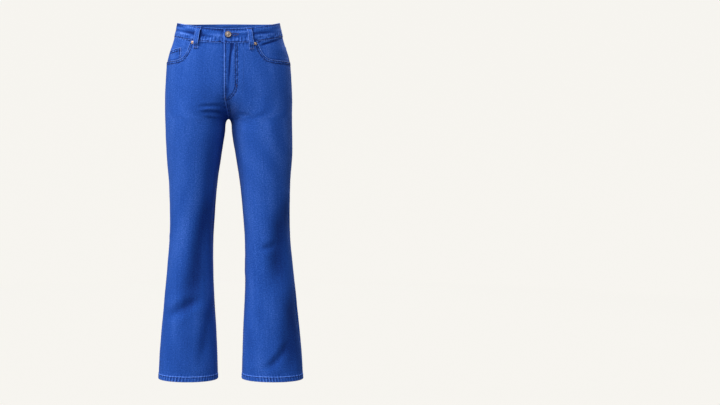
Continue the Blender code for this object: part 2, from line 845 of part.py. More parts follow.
FOLD_ROWS = {
    (side, face): [
        fold
        for fold in rows_of(FOLD_COLUMNS, FOLDS)
        if (fold["side"], fold["face"]) == (side, face)
    ]
    for side in (LEFT, RIGHT)
    for face in (FRONT, BACK)
}
MOUTH_OF = {mouth["side"]: mouth for mouth in rows_of(MOUTH_COLUMNS, MOUTHS)}
ACROSS = {face: across_table(face) for face in (FRONT, BACK)}

main()
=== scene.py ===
"""The looks of a pair of bootcut jeans in blue stretch denim, as they hang when worn.

Every cloth piece is laid on one form, the outer face of the worn cloth. A spot on it is given by
its side (1 the wearer's left, -1 the right), its face (-1 the front, 1 the back), the way round
from the inner edge to the outseam, and its height. Sizes in the tables are in millimetres, and
the meshes are in metres. The frame's origin is the middle of the waist opening.
"""

import math

import bpy
import numpy as np
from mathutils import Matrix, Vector


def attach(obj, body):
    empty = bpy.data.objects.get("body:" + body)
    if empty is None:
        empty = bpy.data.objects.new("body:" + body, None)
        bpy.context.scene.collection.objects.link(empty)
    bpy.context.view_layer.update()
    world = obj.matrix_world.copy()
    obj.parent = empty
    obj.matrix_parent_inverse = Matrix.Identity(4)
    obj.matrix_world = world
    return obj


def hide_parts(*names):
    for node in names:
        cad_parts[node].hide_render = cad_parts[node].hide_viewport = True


bl_info = {
    "name": "Bootcut jeans",
    "version": (1, 0, 0),
    "blender": (4, 5, 0),
    "location": "View3D > Sidebar > Jeans",
    "description": "Makes the cloth, the sewing and the metal of a pair of jeans",
    "category": "Object",
}

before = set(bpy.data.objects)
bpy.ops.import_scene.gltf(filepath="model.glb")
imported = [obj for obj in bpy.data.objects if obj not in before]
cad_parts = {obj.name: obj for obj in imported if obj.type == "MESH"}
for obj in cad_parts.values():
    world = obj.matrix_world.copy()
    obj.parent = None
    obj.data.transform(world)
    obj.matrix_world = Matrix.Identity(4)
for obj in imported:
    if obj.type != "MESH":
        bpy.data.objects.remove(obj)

MM = 0.001
LEFT, RIGHT = 1, -1
SIDES = (LEFT, RIGHT)
SIDE_NAMES = {LEFT: "left", RIGHT: "right"}
FRONT, BACK = -1, 1
BAND = "denim_waistband"

# The form, in millimetres from the middle of the waist
SIDE_TOP, SIDE_SEAM = 20.0, -21.0
BAND_HEIGHT = SIDE_TOP - SIDE_SEAM
FRONT_DIP, BACK_RISE, WAIST_CURVE = 25.0, 7.0, 0.7
YOKE_AT_SIDE, YOKE_AT_CENTRE = -55.0, -68.0
CROTCH, HEM = -252.0, -1007.0
CROTCH_ROUNDING = 6.0
HEM_SWAY, HEM_LEAN = 4.0, 28.0
LEFT_FULLNESS, LEFT_FULL_FROM, LEFT_FULL_AT = 5.0, -220.0, -360.0
FORM_TOP, FORM_FOOT, FORM_STEP = 45.0, -1036.0, 2.5
FROM_CROTCH = (0.02, 0.06, 0.15, 0.3, 0.5, 0.8, 1.2, 1.7, 2.3, 3.0, 4.0, 5.5, 7.0, 9.0)
SECTION_COLUMNS = ("height", "outer", "inner", "front", "back", "line", "squareness")
SECTIONS = (
    (40, 142, -142, 88, 82, -3, 2.15),
    (0, 149, -149, 95, 88, -3, 2.2),
    (-40, 159.5, -159.5, 102, 98, -2, 2.25),
    (-80, 173, -168, 106, 112, 0, 2.3),
    (-120, 178.5, -140, 107, 124, 3, 2.3),
    (-160, 181, -98, 106, 131, 6, 2.3),
    (-200, 182.5, -53, 103, 132, 8, 2.25),
    (-233, 182.5, -10, 100, 127, 9, 2.2),
    (-252, 182, 6, 98, 122, 8, 2.2),
    (-280, 181, 11, 97, 113, 7, 2.2),
    (-330, 179.5, 17.5, 94, 100, 4, 2.15),
    (-380, 176.5, 25, 90, 91, 1, 2.1),
    (-430, 172.5, 32.5, 85, 84, 0, 2.1),
    (-480, 171, 37.5, 79, 78, 0, 2.1),
    (-530, 170.5, 41.5, 74, 73, 0, 2.1),
    (-580, 171.5, 45, 70, 70, 0, 2.1),
    (-640, 176, 46.8, 66, 70, 2, 2.1),
    (-700, 182, 46.8, 63, 70, 4, 2.1),
    (-760, 188.5, 45, 61, 70, 5, 2.1),
    (-820, 194.5, 42, 60, 69, 5, 2.1),
    (-880, 200.5, 39, 59, 68, 5, 2.1),
    (-940, 205.5, 37.2, 59, 67, 5, 2.1),
    (-1007, 209.5, 35.5, 59, 66, 4, 2.1),
    (-1030, 211, 35, 59, 66, 4, 2.1),
)

# Creases, each along a line from (x0, z0) to (x1, z1) as seen from its face. The depth is of the
# trough, a negative one is a ridge, and the lip is the share of it that stands up beside.
FOLD_COLUMNS = ("side", "face", "x0", "z0", "x1", "z1", "width", "depth", "bow", "lip")
FOLDS = (
    (RIGHT, FRONT, -20, -218, -84, -222, 4.6, 1.2, 2, 0.6),
    (RIGHT, FRONT, -12, -240, -76, -236, 4.6, 1.4, 2, 0.6),
    (LEFT, FRONT, 26, -240, 74, -256, 5, 0.7, -3, 0.4),
    (RIGHT, FRONT, -34, -330, -66, -560, 22, 3.0, 3, 0.05),
    (RIGHT, FRONT, -50, -500, -114, -800, 26, 8.0, 2, 0.05),
    (RIGHT, FRONT, -84, -768, -170, -818, 14, 4.0, 4, 0.2),
    (RIGHT, FRONT, -42, -770, -78, -950, 15, 4.2, 2, 0.1),
    (LEFT, FRONT, 162, -500, 140, -720, 28, 9.0, 6, 0.05),
    (LEFT, FRONT, 94, -622, 136, -604, 10, 2.2, 3, 0.1),
    (LEFT, FRONT, 194, -750, 180, -975, 27, 7.5, 3, 0.05),
    (LEFT, FRONT, 170, -898, 112, -968, 12, 4.0, -4, 0.1),
    (LEFT, BACK, 14, -222, 72, -246, 10, 3.4, -5, 0.5),
    (LEFT, BACK, 90, -236, 30, -360, 14, 2.0, -8, 0.4),
    (RIGHT, BACK, -82, -232, -22, -300, 9, 3.4, 6, 0.7),
    (RIGHT, BACK, -138, -258, -58, -344, 11, 2.8, 7, 0.5),
    (LEFT, BACK, 110, -590, 150, -580, 7, 2.6, 3, 0.5),
    (LEFT, BACK, 54, -612, 118, -712, 15, 5.0, 7, 0.6),
    (LEFT, BACK, 52, -664, 88, -722, 9, 3.2, 3, 0.4),
    (RIGHT, BACK, -92, -578, -142, -592, 8, 3.0, 3, 0.5),
    (RIGHT, BACK, -140, -602, -170, -530, 10, 4.0, -3, 0.5),
    (RIGHT, BACK, -120, -640, -150, -612, 8, 2.0, 3, 0.5),
)
FOLD_FADE_AT_SEAMS, FOLD_REACH, FOLD_OVERRUN, FOLD_END = 0.05, 6.0, 0.2, 0.5
LIP_AT, LIP_WIDTH = 2.0, 0.9

# The crease that falls beside the fly: how far from the fly's edge it lies, how it slants between
# two heights, where it steps out, how it widens upwards, how it fades below, its depth and its
# painted shade, and the swell beside it with its painted light
CREASE_OFF, CREASE_SLANT, CREASE_BENDS, CREASE_LEVEL = 14.0, 0.06, (-180.0, -80.0), -150.0
CREASE_STEP, CREASE_STEP_FROM, CREASE_STEP_OVER = 5.0, -84.0, 34.0
CREASE_WIDTH, CREASE_WIDER_FROM, CREASE_WIDER_OVER = 2.2, -72.0, 20.0
CREASE_FADE_AT, CREASE_FADE_OVER, CREASE_DEPTH, CREASE_SHADE = -185.0, 90.0, 2.2, 2.0
SWELL_OFF, SWELL_WIDTH, SWELL_HEIGHT, SWELL_LIGHT = 8.0, 4.0, 0.9, 0.35

# Soft patches of painted light on the fronts, or of painted shade where the tone is below 0: how
# far round the middle lies, its width, its height and how tall it is, and its tone
FLY_FOOT_SHADE = (6.0, 7.0, -175.0, 12.0, -0.8)
LEFT_INNER_PAINTED_LIGHT = (15.0, 16.0, -232.0, 18.0, 0.8)
RIGHT_INNER_SHADE = (60.0, 50.0, -240.0, 80.0, -0.28)

# The crease in the left facing: how far under the waistband, its slope, where it starts and ends
FACING_CREASE_BELOW, FACING_CREASE_SLOPE, FACING_CREASE_FROM = 9.0, 0.16, 18.0
FACING_CREASE_START, FACING_CREASE_END, FACING_CREASE_WIDTH = 6.0, 158.0, 2.8

# The fly and the pockets
FLY_EDGE, FLY_END, CROTCH_SEAM = -13.0, -190.0, -2.0
FLY_WIDTH, FLY_CURVE_START, FLY_BOTTOM, FLY_RAISE = 37.7, -157.0, -203.0, 0.9
FLY_ROW, FLY_TACK, FLY_SEAM_X = 5.0, -196.0, 10.0
LAP_UNDER, BAND_DIP, BAND_DIP_OVER, BAND_DIP_GAP = 23.0, 24.0, 9.0, 0.6
UNDER_FLY, UNDER_FLY_FROM, UNDER_FLY_OVER = 7.0, -235.0, 45.0
MOUTHS = {LEFT: (80.0, -91.0, 4.6), RIGHT: (105.0, -90.0, 3.8)}
FACING_TUCK, FACING_DEPTH = 22.0, 3.0
COIN_TOP, COIN_START, COIN_SLOPE, COIN_SLANT, COIN_TUCK = -54.0, 131.0, 6.0, 8.0, 12.0
POCKET_TOP, POCKET_CORNER, POCKET_TIP = -85.0, -203.0, -226.0
POCKET_INNER, POCKET_OUTER, POCKET_POINT = (46.0, 71.0), (160.0, 165.0), 0.55
POCKET_HEM = 14.0
LOOPS = (
    ("belt_loop_front_left", LEFT, FRONT, 56.0, 64.0, 6.0),
    ("belt_loop_front_right", RIGHT, FRONT, 81.0, 91.0, 6.0),
    ("belt_loop_side_left", LEFT, BACK, 137.5, 149.5, 5.0),
    ("belt_loop_side_right", RIGHT, BACK, 137.5, 149.5, 5.0),
    ("belt_loop_back", LEFT, BACK, 0.0, 0.0, 6.0),
)
LOOP_WIDTH, LOOP_CLOTH, LOOP_TACK, LOOP_BEND, LOOP_BELOW = 13.5, 1.9, 5.0, 10.0, 21.0
LOOP_ROW = 4.4
BUTTON_X, BUTTON_Z, BUTTON_SIDES = -1.0, -22.0, 96
BEADS, BEAD_RING, BEAD_HEIGHT = 24, 6.2, 0.16
RIVET_BELOW_SEAM, RIVET_FROM_MOUTH = 6.5, 5.0

# Cloth
DENIM, BAND_CLOTH, POCKET_CLOTH, BAND_PROUD = 1.2, 3.0, 1.5, 1.0
HEM_DEPTH, HEM_PROUD, HEM_CLOTH, ROPE_PITCH = 16.0, 0.8, 2.8, 9.0
ROPE_SLANT, ROPE_ABOVE_HEM = 0.2, 7.0
BAND_ROPE_SLANT, BAND_ROPE_AT, BAND_ROPE_TALL, BAND_TOP_ROPE_FROM = 0.12, 10.0, 8.0, 34.0
UNDER_BAND, UNDER_YOKE, INSEAM_REACH = 4.0, 6.0, 20.0
FIRST_ROW, SECOND_ROW, SEAM_REACH = 3.2, 9.0, 15.0
FAR, NOWHERE, OUTSEAM_ROW_END = 60.0, 1000.0, -150.0
LAP_TUCK = 1.9

# How the cloth's material draws each seam: where its puckers start, in mm, so that no two seams
# look alike, and how strong its worn edge, its first row and its second row are
SEAMS = {
    "inseam_left": (0, 0.3, 1.4, 0.0),
    "inseam_right": (0, 0.3, 1.9, 0.0),
    "inseam_back": (0, 0.3, 0.3, 0.0),
    "outseam_front": (2000, 0.6, 0.5, 0.0),
    "outseam_back": (2000, 0.6, 0.6, 0.0),
    "outseam_facing": (2000, 0.4, 0.5, 0.0),
    "fly_edge": (3000, 0.0, 1.2, 1.0),
    "fly_curve": (4000, 0.0, 1.4, 1.4),
    "hem": (5000, 1.0, 1.0, 0.0),
    "centre_left": (6000, 1.3, 1.4, 1.4),
    "centre_right": (7000, 0.0, 0.3, 0.0),
    "yoke": (8000, 1.3, 1.4, 1.4),
    "mouth": (0, 1.2, 1.8, 1.6),
    "coin_top": (0, 1.0, 1.5, 1.5),
    "coin_side": (0, 0.8, 1.3, 0.0),
    "pocket": (0, 1.3, 1.4, 1.4),
    "pocket_hem": (9000, 0.0, 1.6, 0.0),
    "band_foot": (0, 0.7, 1.3, 0.0),
    "band_top": (1500, 0.8, 1.0, 0.0),
    "band_end": (3000, 0.0, 1.0, 0.0),
    "loop": (0, 1.3, 0.45, 0.0),
}
LOOP_SIDES_APART = 400.0

# What tells one piece's puckers and one piece's unevenness from another's
PUCKER_SEEDS = {
    "front": {LEFT: 1.3, RIGHT: 4.1},
    "back": {LEFT: 2.2, RIGHT: 5.3},
    "yoke": {LEFT: 3.4, RIGHT: 6.1},
    "pocket": {LEFT: 7.7, RIGHT: 8.9},
}
SEWING_SEEDS = (3, 5, 7, 9, 11, 13)
UNEVEN_SEEDS = {"front": 11, "back": 41, "yoke": 71, "band": 91, "facing": 101, "pocket": 121}
ROWS_APART = SECOND_ROW - FIRST_ROW

# The lines of the pieces' grids: the step between them, where they crowd at an edge and above
# the hem, and the size that a small piece's grid is drawn for
MESH_STEP, TRUNK_LINES, LEG_LINES, LEG_CROWDED, LEG_GAP = 3.0, 64, 236, 70.0, 2.0
EDGE_LINES = (0.0, 0.12, 0.4, 0.9, 1.8)
ABOVE_HEM_LINES = (17.2, 16.6, 16.0, 15.4, 14.8, 13.0, 11.0, 9.0, 7.0, 5.0, 3.4)
YOKE_TALL, FACING_WIDE, FACING_LINES = 45.0, 110.0, 36
BACK_LEVEL, YOKE_LEVEL, YOKE_STEP, PATCH_STEP, COIN_STEP = -70.0, -50.0, 2.6, 2.2, 1.6
BAND_STEP, BAND_LEVEL_STEP, LOOP_STEP, LOOP_LEVEL_STEP = 2.4, 1.8, 1.4, 1.5
COIN_WIDE, COIN_TALL, POCKET_WIDE, POCKET_TALL = 40.0, 46.0, 112.0, 135.0
CROWDED_MOUTH, CROWDED_FLY, CROWDED_STEP = np.array([-3.0, 34.0]), (6.0, 44.0), 1.5

# Thread: the gap between two stitches, and the thickness of the thread of bartacks and buttonhole
STITCH_GAP, TACK_THREAD, HOLE_THREAD, UNSTEADY = 0.55, 0.5, 0.75, 0.12
HOLE_REACH, HOLE_HIGH, HOLE_FROM_BUTTON, HOLE_STITCHES, HOLE_EDGE = 14.5, 2.0, 12.5, 90, 1.3

# The camera, read from the photo
CAMERA_PLACE, CAMERA_AIM = (0.0, -3.067, -0.337), (0.0, 0.033, -0.493)
CAMERA_LENS, CAMERA_SHIFT = 53.4, 0.1826

# The studio, in metres: each light's setting, place, size and colour, and the paper's sweep
LIGHTS = (
    ("key", (-7.3, -4.1, 7.4), 4.2, (1.0, 0.985, 0.96)),
    ("front", (-2.2, -8.4, 6.6), 4.2, (1.0, 0.985, 0.97)),
    ("fill", (2.4, -2.2, 0.0), 2.0, (0.90, 0.95, 1.0)),
    ("back", (3.4, 7.6, 7.4), 4.2, (1.0, 0.985, 0.96)),
)
LIGHTS_AIM, SURROUND_COLOUR, PAPER_BASE = (0.0, 0.0, -0.5), (0.72, 0.86, 1.0), 0.004
SWEEP_SIDES, SWEEP_REACH, SWEEP_BEND = 64, 7.0, 2.0
SWEEP_CEILING = [(7.0, 5.0), (4.9, 8.0), (0.5, 9.5)]


def smooth_step(value):
    """0 below 0, 1 above 1, and smooth between."""
    value = np.clip(value, 0.0, 1.0)
    return value * value * (3 - 2 * value)


def peak(value, centre, width):
    """1 where the value is at the centre, falling smoothly to 0 on both sides."""
    return np.exp(-(((value - centre) / width) ** 2))


def plateau(value, centre, width):
    """The same with a broad top and steep sides."""
    return np.exp(-(((value - centre) / width) ** 4))


def natural_curve(knots, values, wanted):
    """The natural cubic curve through the values, at the wanted places."""
    order = np.argsort(knots)
    x, y = np.array(knots, float)[order], np.array(values, float)[order]
    step, count = np.diff(x), len(x)
    system, right = np.eye(count), np.zeros(count)
    for i in range(1, count - 1):
        system[i, i - 1 : i + 2] = step[i - 1], 2 * (step[i - 1] + step[i]), step[i]
        right[i] = 6 * ((y[i + 1] - y[i]) / step[i] - (y[i] - y[i - 1]) / step[i - 1])
    bend = np.linalg.solve(system, right)
    i = np.clip(np.searchsorted(x, wanted) - 1, 0, count - 2)
    before, after, gap = wanted - x[i], x[i + 1] - wanted, step[i]
    return (
        (bend[i] * after**3 + bend[i + 1] * before**3) / (6 * gap)
        + (y[i] / gap - bend[i] * gap / 6) * after
        + (y[i + 1] / gap - bend[i + 1] * gap / 6) * before
    )


def form_levels():
    """The heights at which the form is worked out, closest together at the crotch."""
    even = np.arange(FORM_TOP, FORM_FOOT, -FORM_STEP)
    close = np.array(FROM_CROTCH)
    return np.unique(np.concatenate([even, CROTCH + close, CROTCH - close, [CROTCH]]))[::-1]


LEVELS = form_levels()
RING = 161
FORM = {}


def section(name, height):
    """One of the section table's columns at some heights."""
    column = SECTION_COLUMNS.index(name)
    return natural_curve([row[0] for row in SECTIONS], [row[column] for row in SECTIONS], height)


def shape_half(side, face):
    """One side and face of the form: points, directions outwards, and the way round at a level."""
    at = {name: section(name, LEVELS) for name in SECTION_COLUMNS[1:]}
    if side == LEFT:
        full = smooth_step((LEFT_FULL_FROM - LEVELS) / (LEFT_FULL_FROM - LEFT_FULL_AT))
        at["outer"] = at["outer"] + LEFT_FULLNESS * full
    reach = np.hypot(at["outer"], CROTCH_ROUNDING)
    middle, half = (reach + at["inner"]) / 2, (reach - at["inner"]) / 2
    depth = at["front"] + at["line"] if face == FRONT else at["back"] - at["line"]
    power = 2 / at["squareness"]
    start = (np.maximum(at["inner"], CROTCH_ROUNDING) - middle) / half
    start = np.sign(start) * np.minimum(np.abs(start), 1.0) ** (1 / power)
    angle = np.arccos(start)[:, None] * np.linspace(1.0, 0.0, RING)[None, :]
    across = np.cos(angle)
    x = middle[:, None] + half[:, None] * np.sign(across) * np.abs(across) ** power[:, None]
    y = at["line"][:, None] + face * depth[:, None] * np.abs(np.sin(angle)) ** power[:, None]
    x = np.sqrt(np.maximum(x * x - CROTCH_ROUNDING**2, 0.0))
    way = np.cumsum(np.hypot(np.diff(x, axis=1), np.diff(y, axis=1)), axis=1)
    way = np.concatenate([np.zeros((len(LEVELS), 1)), way], axis=1)
    points = np.zeros((len(LEVELS), RING, 3))
    for i in range(len(LEVELS)):
        even = np.linspace(0.0, way[i, -1], RING)
        points[i, :, 0] = side * np.interp(even, way[i], x[i])
        points[i, :, 1] = np.interp(even, way[i], y[i])
    points[..., 0] += (HEM_SWAY * smooth_step((CROTCH - LEVELS) / (CROTCH - HEM)))[:, None]
    points[..., 1] += (HEM_LEAN * np.maximum(LEVELS / HEM, 0.0))[:, None]
    points[..., 2] = LEVELS[:, None]
    around = np.gradient(points, axis=1)
    up = np.gradient(points, LEVELS, axis=0)
    away = np.cross(around, up) * -side * face
    away /= np.linalg.norm(away, axis=2, keepdims=True)
    return points, away, way[:, -1]


def make_form():
    """Works out both sides and faces of the form once."""
    for side in SIDES:
        for face in (FRONT, BACK):
            FORM[side, face] = shape_half(side, face)


def grid_value(grid, row, column):
    """A grid's values between its lines."""
    i = np.clip(row.astype(int), 0, grid.shape[0] - 2)
    j = np.clip(column.astype(int), 0, grid.shape[1] - 2)
    a, b = (row - i)[:, None], (column - j)[:, None]
    low = grid[i, j] * (1 - b) + grid[i, j + 1] * b
    return low * (1 - a) + (grid[i + 1, j] * (1 - b) + grid[i + 1, j + 1] * b) * a


def length_round(side, face, height):
    """The way round the form from its inner edge to the outseam at some heights."""
    return np.interp(-np.asarray(height, float), -LEVELS, FORM[side, face][2])


def spot(side, face, arc, height):
    """The half of the form and the share of its way round. An arc below 0 is past the middle."""
    arc, height = np.broadcast_arrays(np.asarray(arc, float), np.asarray(height, float))
    half = np.where(arc >= 0, side, -side)
    own = length_round(side, face, height)
    other = length_round(-side, face, height)
    share = np.abs(arc) / np.where(arc >= 0, own, other)
    return half, np.clip(share, 0.0, 1.0)


def on_form(half, face, share, height):
    """Points of the form without creases, and the directions outwards."""
    half, face, share, height = np.broadcast_arrays(half, face, share, height)
    points, outwards = np.zeros(share.shape + (3,)), np.zeros(share.shape + (3,))
    for (a_side, a_face), (grid, away, _) in FORM.items():
        here = (half == a_side) & (face == a_face)
        if here.any():
            row = np.interp(-height[here], -LEVELS, np.arange(len(LEVELS)))
            column = share[here] * (RING - 1)
            points[here] = grid_value(grid, row, column)
            outwards[here] = grid_value(away, row, column)
    outwards /= np.maximum(np.linalg.norm(outwards, axis=-1, keepdims=True), 1e-9)
    return points, outwards


def crease_depth(half, face, x, height, share):
    """How far the creases push the cloth in."""
    depth = np.zeros(x.shape)
    for row in FOLDS:
        fold = dict(zip(FOLD_COLUMNS, row))
        along_x, along_z = fold["x1"] - fold["x0"], fold["z1"] - fold["z0"]
        length = math.hypot(along_x, along_z)
        from_x, from_z = x - fold["x0"], height - fold["z0"]
        part = (from_x * along_x + from_z * along_z) / length**2
        off = (from_x * along_z - from_z * along_x) / length
        off = (off - 4 * fold["bow"] * part * (1 - part)) / fold["width"]
        ends = smooth_step((part + FOLD_OVERRUN) / FOLD_END)
        ends = ends * smooth_step((1 + FOLD_OVERRUN - part) / FOLD_END)
        here = (half == fold["side"]) & (face == fold["face"]) & (np.abs(off) < FOLD_REACH)
        trough = peak(off, 0.0, 1.0)
        lips = fold["lip"] * peak(np.abs(off), LIP_AT, LIP_WIDTH)
        depth += np.where(here, fold["depth"] * ends * (trough - lips), 0.0)
    return depth * smooth_step(np.minimum(share, 1 - share) / FOLD_FADE_AT_SEAMS)


def cloth_at(half, face, share, height, out=0.0):
    """Points of the worn cloth moved out by some mm, the directions outwards and the creases."""
    points, outwards = on_form(half, face, share, height)
    depth = crease_depth(half, face, points[..., 0], points[..., 2], np.asarray(share))
    return points + outwards * (out - depth)[..., None], outwards, depth


def cloth(side, face, arc, height, out=0.0):
    """The same for a way round given in mm, which may go past the middle."""
    half, share = spot(side, face, arc, height)
    height = np.broadcast_to(np.asarray(height, float), share.shape)
    return cloth_at(half, face, share, height, out)


def arc_of_x(side, face, x, height):
    """The way round to a distance from the middle, at one height."""
    grid, _, length = FORM[side, face]
    row = int(np.argmin(np.abs(LEVELS - height)))
    sway = HEM_SWAY * float(smooth_step((CROTCH - height) / (CROTCH - HEM)))
    xs = np.maximum.accumulate(side * (grid[row, :, 0] - sway))
    return float(np.interp(x, xs, np.linspace(0.0, length[row], RING)))


def arcs_of_x(side, face, x, height):
    """The ways round to some distances from the middle, at some heights."""
    pairs = np.broadcast(np.asarray(x, float), np.asarray(height, float))
    return np.array([arc_of_x(side, face, a, b) for a, b in pairs])


def waist_rise(face, share):
    """How much higher the waist's edges are than at the sides, in front less than 0."""
    at_front = np.asarray(face) == FRONT
    rise = np.zeros(np.shape(share))
    for a_face in (FRONT, BACK):
        grid = FORM[RIGHT, a_face][0]
        row = int(np.argmin(np.abs(LEVELS - SIDE_SEAM)))
        part = np.minimum(np.abs(grid[row, :, 0]) / np.abs(grid[row, -1, 0]), 1.0)
        x = np.interp(share, np.linspace(0.0, 1.0, RING), part)
        swell = np.maximum(np.cos(math.pi / 2 * x), 0.0) ** WAIST_CURVE
        rise = np.where(at_front == (a_face == FRONT), swell, rise)
    return rise * np.where(at_front, -FRONT_DIP, BACK_RISE)


def seam_height(face, share):
    """The waistband's lower edge."""
    return SIDE_SEAM + waist_rise(face, share)


def top_height(face, share):
    """The waistband's upper edge."""
    return SIDE_TOP + waist_rise(face, share)


def lap_line(height):
    """The line where the two fronts meet: the fly's edge, then the crotch seam."""
    along = smooth_step((FLY_END - height) / (FLY_END - CROTCH))
    return FLY_EDGE + (CROTCH_SEAM - FLY_EDGE) * along


def seam_at(face, x):
    """The waistband's lower edge at a distance from the middle."""
    length = float(length_round(RIGHT, face, SIDE_SEAM))
    return float(seam_height(face, arc_of_x(RIGHT, face, x, SIDE_SEAM) / length))


def mouth_height(side, x):
    """The height of a hip pocket's mouth at a distance from the middle."""
    start, low_end, steepness = MOUTHS[side]
    top = seam_at(FRONT, start)
    side_line = float(section("outer", np.array([low_end]))[0])
    part = np.clip((x - start) / (side_line - start), 0.0, 1.0)
    return top + (low_end - top) * np.tanh(steepness * part) / math.tanh(steepness)


def fly_width(height):
    """How far the fly's stitching stands from its edge."""
    part = np.clip((FLY_CURVE_START - height) / (FLY_CURVE_START - FLY_BOTTOM), 0.0, 1.0)
    return FLY_WIDTH * np.sqrt(1 - part**2)


def away_from_line(arc, height, line):
    """Each spot's distance from a line of (arc, height) points, and how far along it is."""
    line = np.asarray(line, float)
    best = np.full(arc.shape, 1e9)
    along = np.zeros(arc.shape)
    walked = 0.0
    for (a0, h0), (a1, h1) in zip(line[:-1], line[1:]):
        length = math.hypot(a1 - a0, h1 - h0)
        if length < 1e-6:
            continue
        part = ((arc - a0) * (a1 - a0) + (height - h0) * (h1 - h0)) / length**2
        part = np.clip(part, 0.0, 1.0)
        distance = np.hypot(arc - a0 - part * (a1 - a0), height - h0 - part * (h1 - h0))
        nearer = distance < best
        best = np.where(nearer, distance, best)
        along = np.where(nearer, walked + part * length, along)
        walked += length
    return best, along


def unevenness(a, b, scale, seed):
    """A smooth uneven field between about -1 and 1, from waves in many directions."""
    pick = np.random.RandomState(seed)
    total = np.zeros(np.shape(a))
    for _ in range(7):
        turn, phase = pick.uniform(0, math.tau), pick.uniform(0, math.tau)
        wave = scale * pick.uniform(0.6, 1.7)
        total += np.sin((a * math.cos(turn) + b * math.sin(turn)) * math.tau / wave + phase)
    return total / 3.0


def puckers(along, seed, pitch=8.0):
    """The ripples that a row of stitches draws into the cloth, as a value from -1 to 1."""
    wander = 2.2 * np.sin(along / 31.0 + seed) + 1.3 * np.sin(along / 12.7 + 2 * seed)
    strong = 0.65 + 0.35 * np.sin(along / 19.0 + 3 * seed)
    return strong * np.sin((along + wander) * math.tau / pitch)


class Layer:
    """How far a piece's face stands out at each spot, how light or dark it is drawn from wear and
    from painted light and shade, and its nearest seam.
    """

    def __init__(self, shape):
        self.out = np.zeros(shape)
        self.tone = np.zeros(shape)
        self.near = np.full(shape, FAR)
        self.along = np.zeros(shape)
        self.rows = np.zeros(shape + (3,))

    def uneven(self, across, height, seed, lift, wave, wear, long=0.3):
        """The slight unevenness of a small piece, and its uneven wear, which is longer."""
        self.out += lift * unevenness(across, height, wave, seed)
        self.tone += wear * unevenness(across, height * long, 40.0, seed + 10)

    def seam(self, distance, along, seed, reach=6.0, strength=0.28, pitch=8.0, wear=0.5):
        """The ripples that a sewn line draws into the cloth beside it."""
        ripple = puckers(along, seed, pitch) * peak(distance, 0.0, reach)
        self.out += strength * ripple
        self.tone += wear * ripple

    def sewn(self, distance, along, kind, second_share=1.0):
        """Notes a seam for the material, which draws its worn edge and its rows of stitches."""
        start, edge, first, second = SEAMS[kind]
        nearer = np.abs(distance) < np.minimum(np.abs(self.near), SEAM_REACH)
        self.near = np.where(nearer, distance, self.near)
        self.along = np.where(nearer, along + start, self.along)
        for column, weight in enumerate((edge, first, second * second_share)):
            self.rows[..., column] = np.where(nearer, weight, self.rows[..., column])

    def raised(self, distance, width, height, soft=1.6):
        """A doubled edge that lies a little higher, out to a width from the line."""
        inside = smooth_step((width - distance) / soft)
        self.out += height * inside
        self.tone += 0.12 * inside * height

    def wear_and_painted_shade(self, distance, width, tone):
        """A worn line, or a line of painted shade where the tone is below 0."""
        self.tone += tone * peak(distance, 0.0, width)

    def patch(self, across, height, place):
        """A soft patch of painted light, or of painted shade where its tone is below 0."""
        middle, width, level, tall, tone = place
        self.tone += tone * peak(across, middle, width) * peak(height, level, tall)


def mouth_line(side):
    """A hip pocket's mouth as (arc, height) points, from the rivet's end to the outseam."""
    start, low_end, _ = MOUTHS[side]
    side_line = float(section("outer", np.array([low_end]))[0])
    x = start + (side_line - start) * np.linspace(0.0, 1.0, 34) ** 1.4
    height = mouth_height(side, x)
    return np.stack([arcs_of_x(side, FRONT, x, height), height], axis=1)


def fly_curve(inset=0.0):
    """The fly's curved stitching as (arc, height) points, from the waistband down."""
    top = seam_at(FRONT, FLY_SEAM_X)
    turn = np.linspace(0.0, math.pi / 2, 16)
    straight = np.linspace(top, FLY_CURVE_START, 20)
    bent = FLY_CURVE_START - (FLY_CURVE_START - FLY_BOTTOM - inset) * np.sin(turn)
    height, width = np.concatenate([straight, bent]), FLY_WIDTH - inset
    width = np.concatenate([np.full(20, width), width * np.cos(turn)])
    return np.stack([lap_line(height) + width, height], axis=1)


def hem_relief(layer, around, height, seed):
    """The turned-up hem, with the slanting ropes that washing leaves in it."""
    above = height - HEM
    inside = smooth_step((HEM_DEPTH - above) / 1.2)
    slanted = around + ROPE_SLANT * above
    wander = 2.0 * np.sin(around / 27.0 + seed)
    rope = np.sin((slanted + wander) * math.tau / ROPE_PITCH)
    strong = 0.7 + 0.3 * np.sin(around / 17.0 + seed)
    layer.out += inside * (HEM_PROUD + 0.5 * rope * strong)
    layer.tone += inside * (0.05 + 0.95 * rope * strong)
    layer.wear_and_painted_shade(above, width=1.6, tone=0.8)
    layer.sewn(HEM_DEPTH - above, around, "hem")
    above_hem = peak(np.maximum(above - HEM_DEPTH, 0), 0.0, ROPE_ABOVE_HEM) * (1 - inside)
    layer.out += 0.2 * above_hem * rope
    layer.tone += 0.3 * above_hem * rope


def leg_fade(share, height):
    """Lighter down the middle of the thigh, where a leg wears, and darker below the knee."""
    thigh = peak(height, -400.0, 240.0) * np.sin(math.pi * np.clip(share, 0, 1))
    return 0.04 * thigh - 0.10 * smooth_step((-560.0 - height) / 200.0)


def uneven_leg(layer, arc, height, seed):
    """The slight unevenness of a leg's cloth, large and small, and its uneven wear."""
    layer.out += 0.35 * unevenness(arc, height * 0.6, 70.0, seed)
    layer.out += 0.10 * unevenness(arc, height * 0.7, 22.0, seed + 10)
    layer.tone += 0.10 * unevenness(arc, height * 0.3, 45.0, seed + 20)


def inside_fly(arc, height):
    """Whether a spot lies between the fly's edge and its curved stitching."""
    return (arc - lap_line(height) < fly_width(height)) & (height > FLY_BOTTOM)


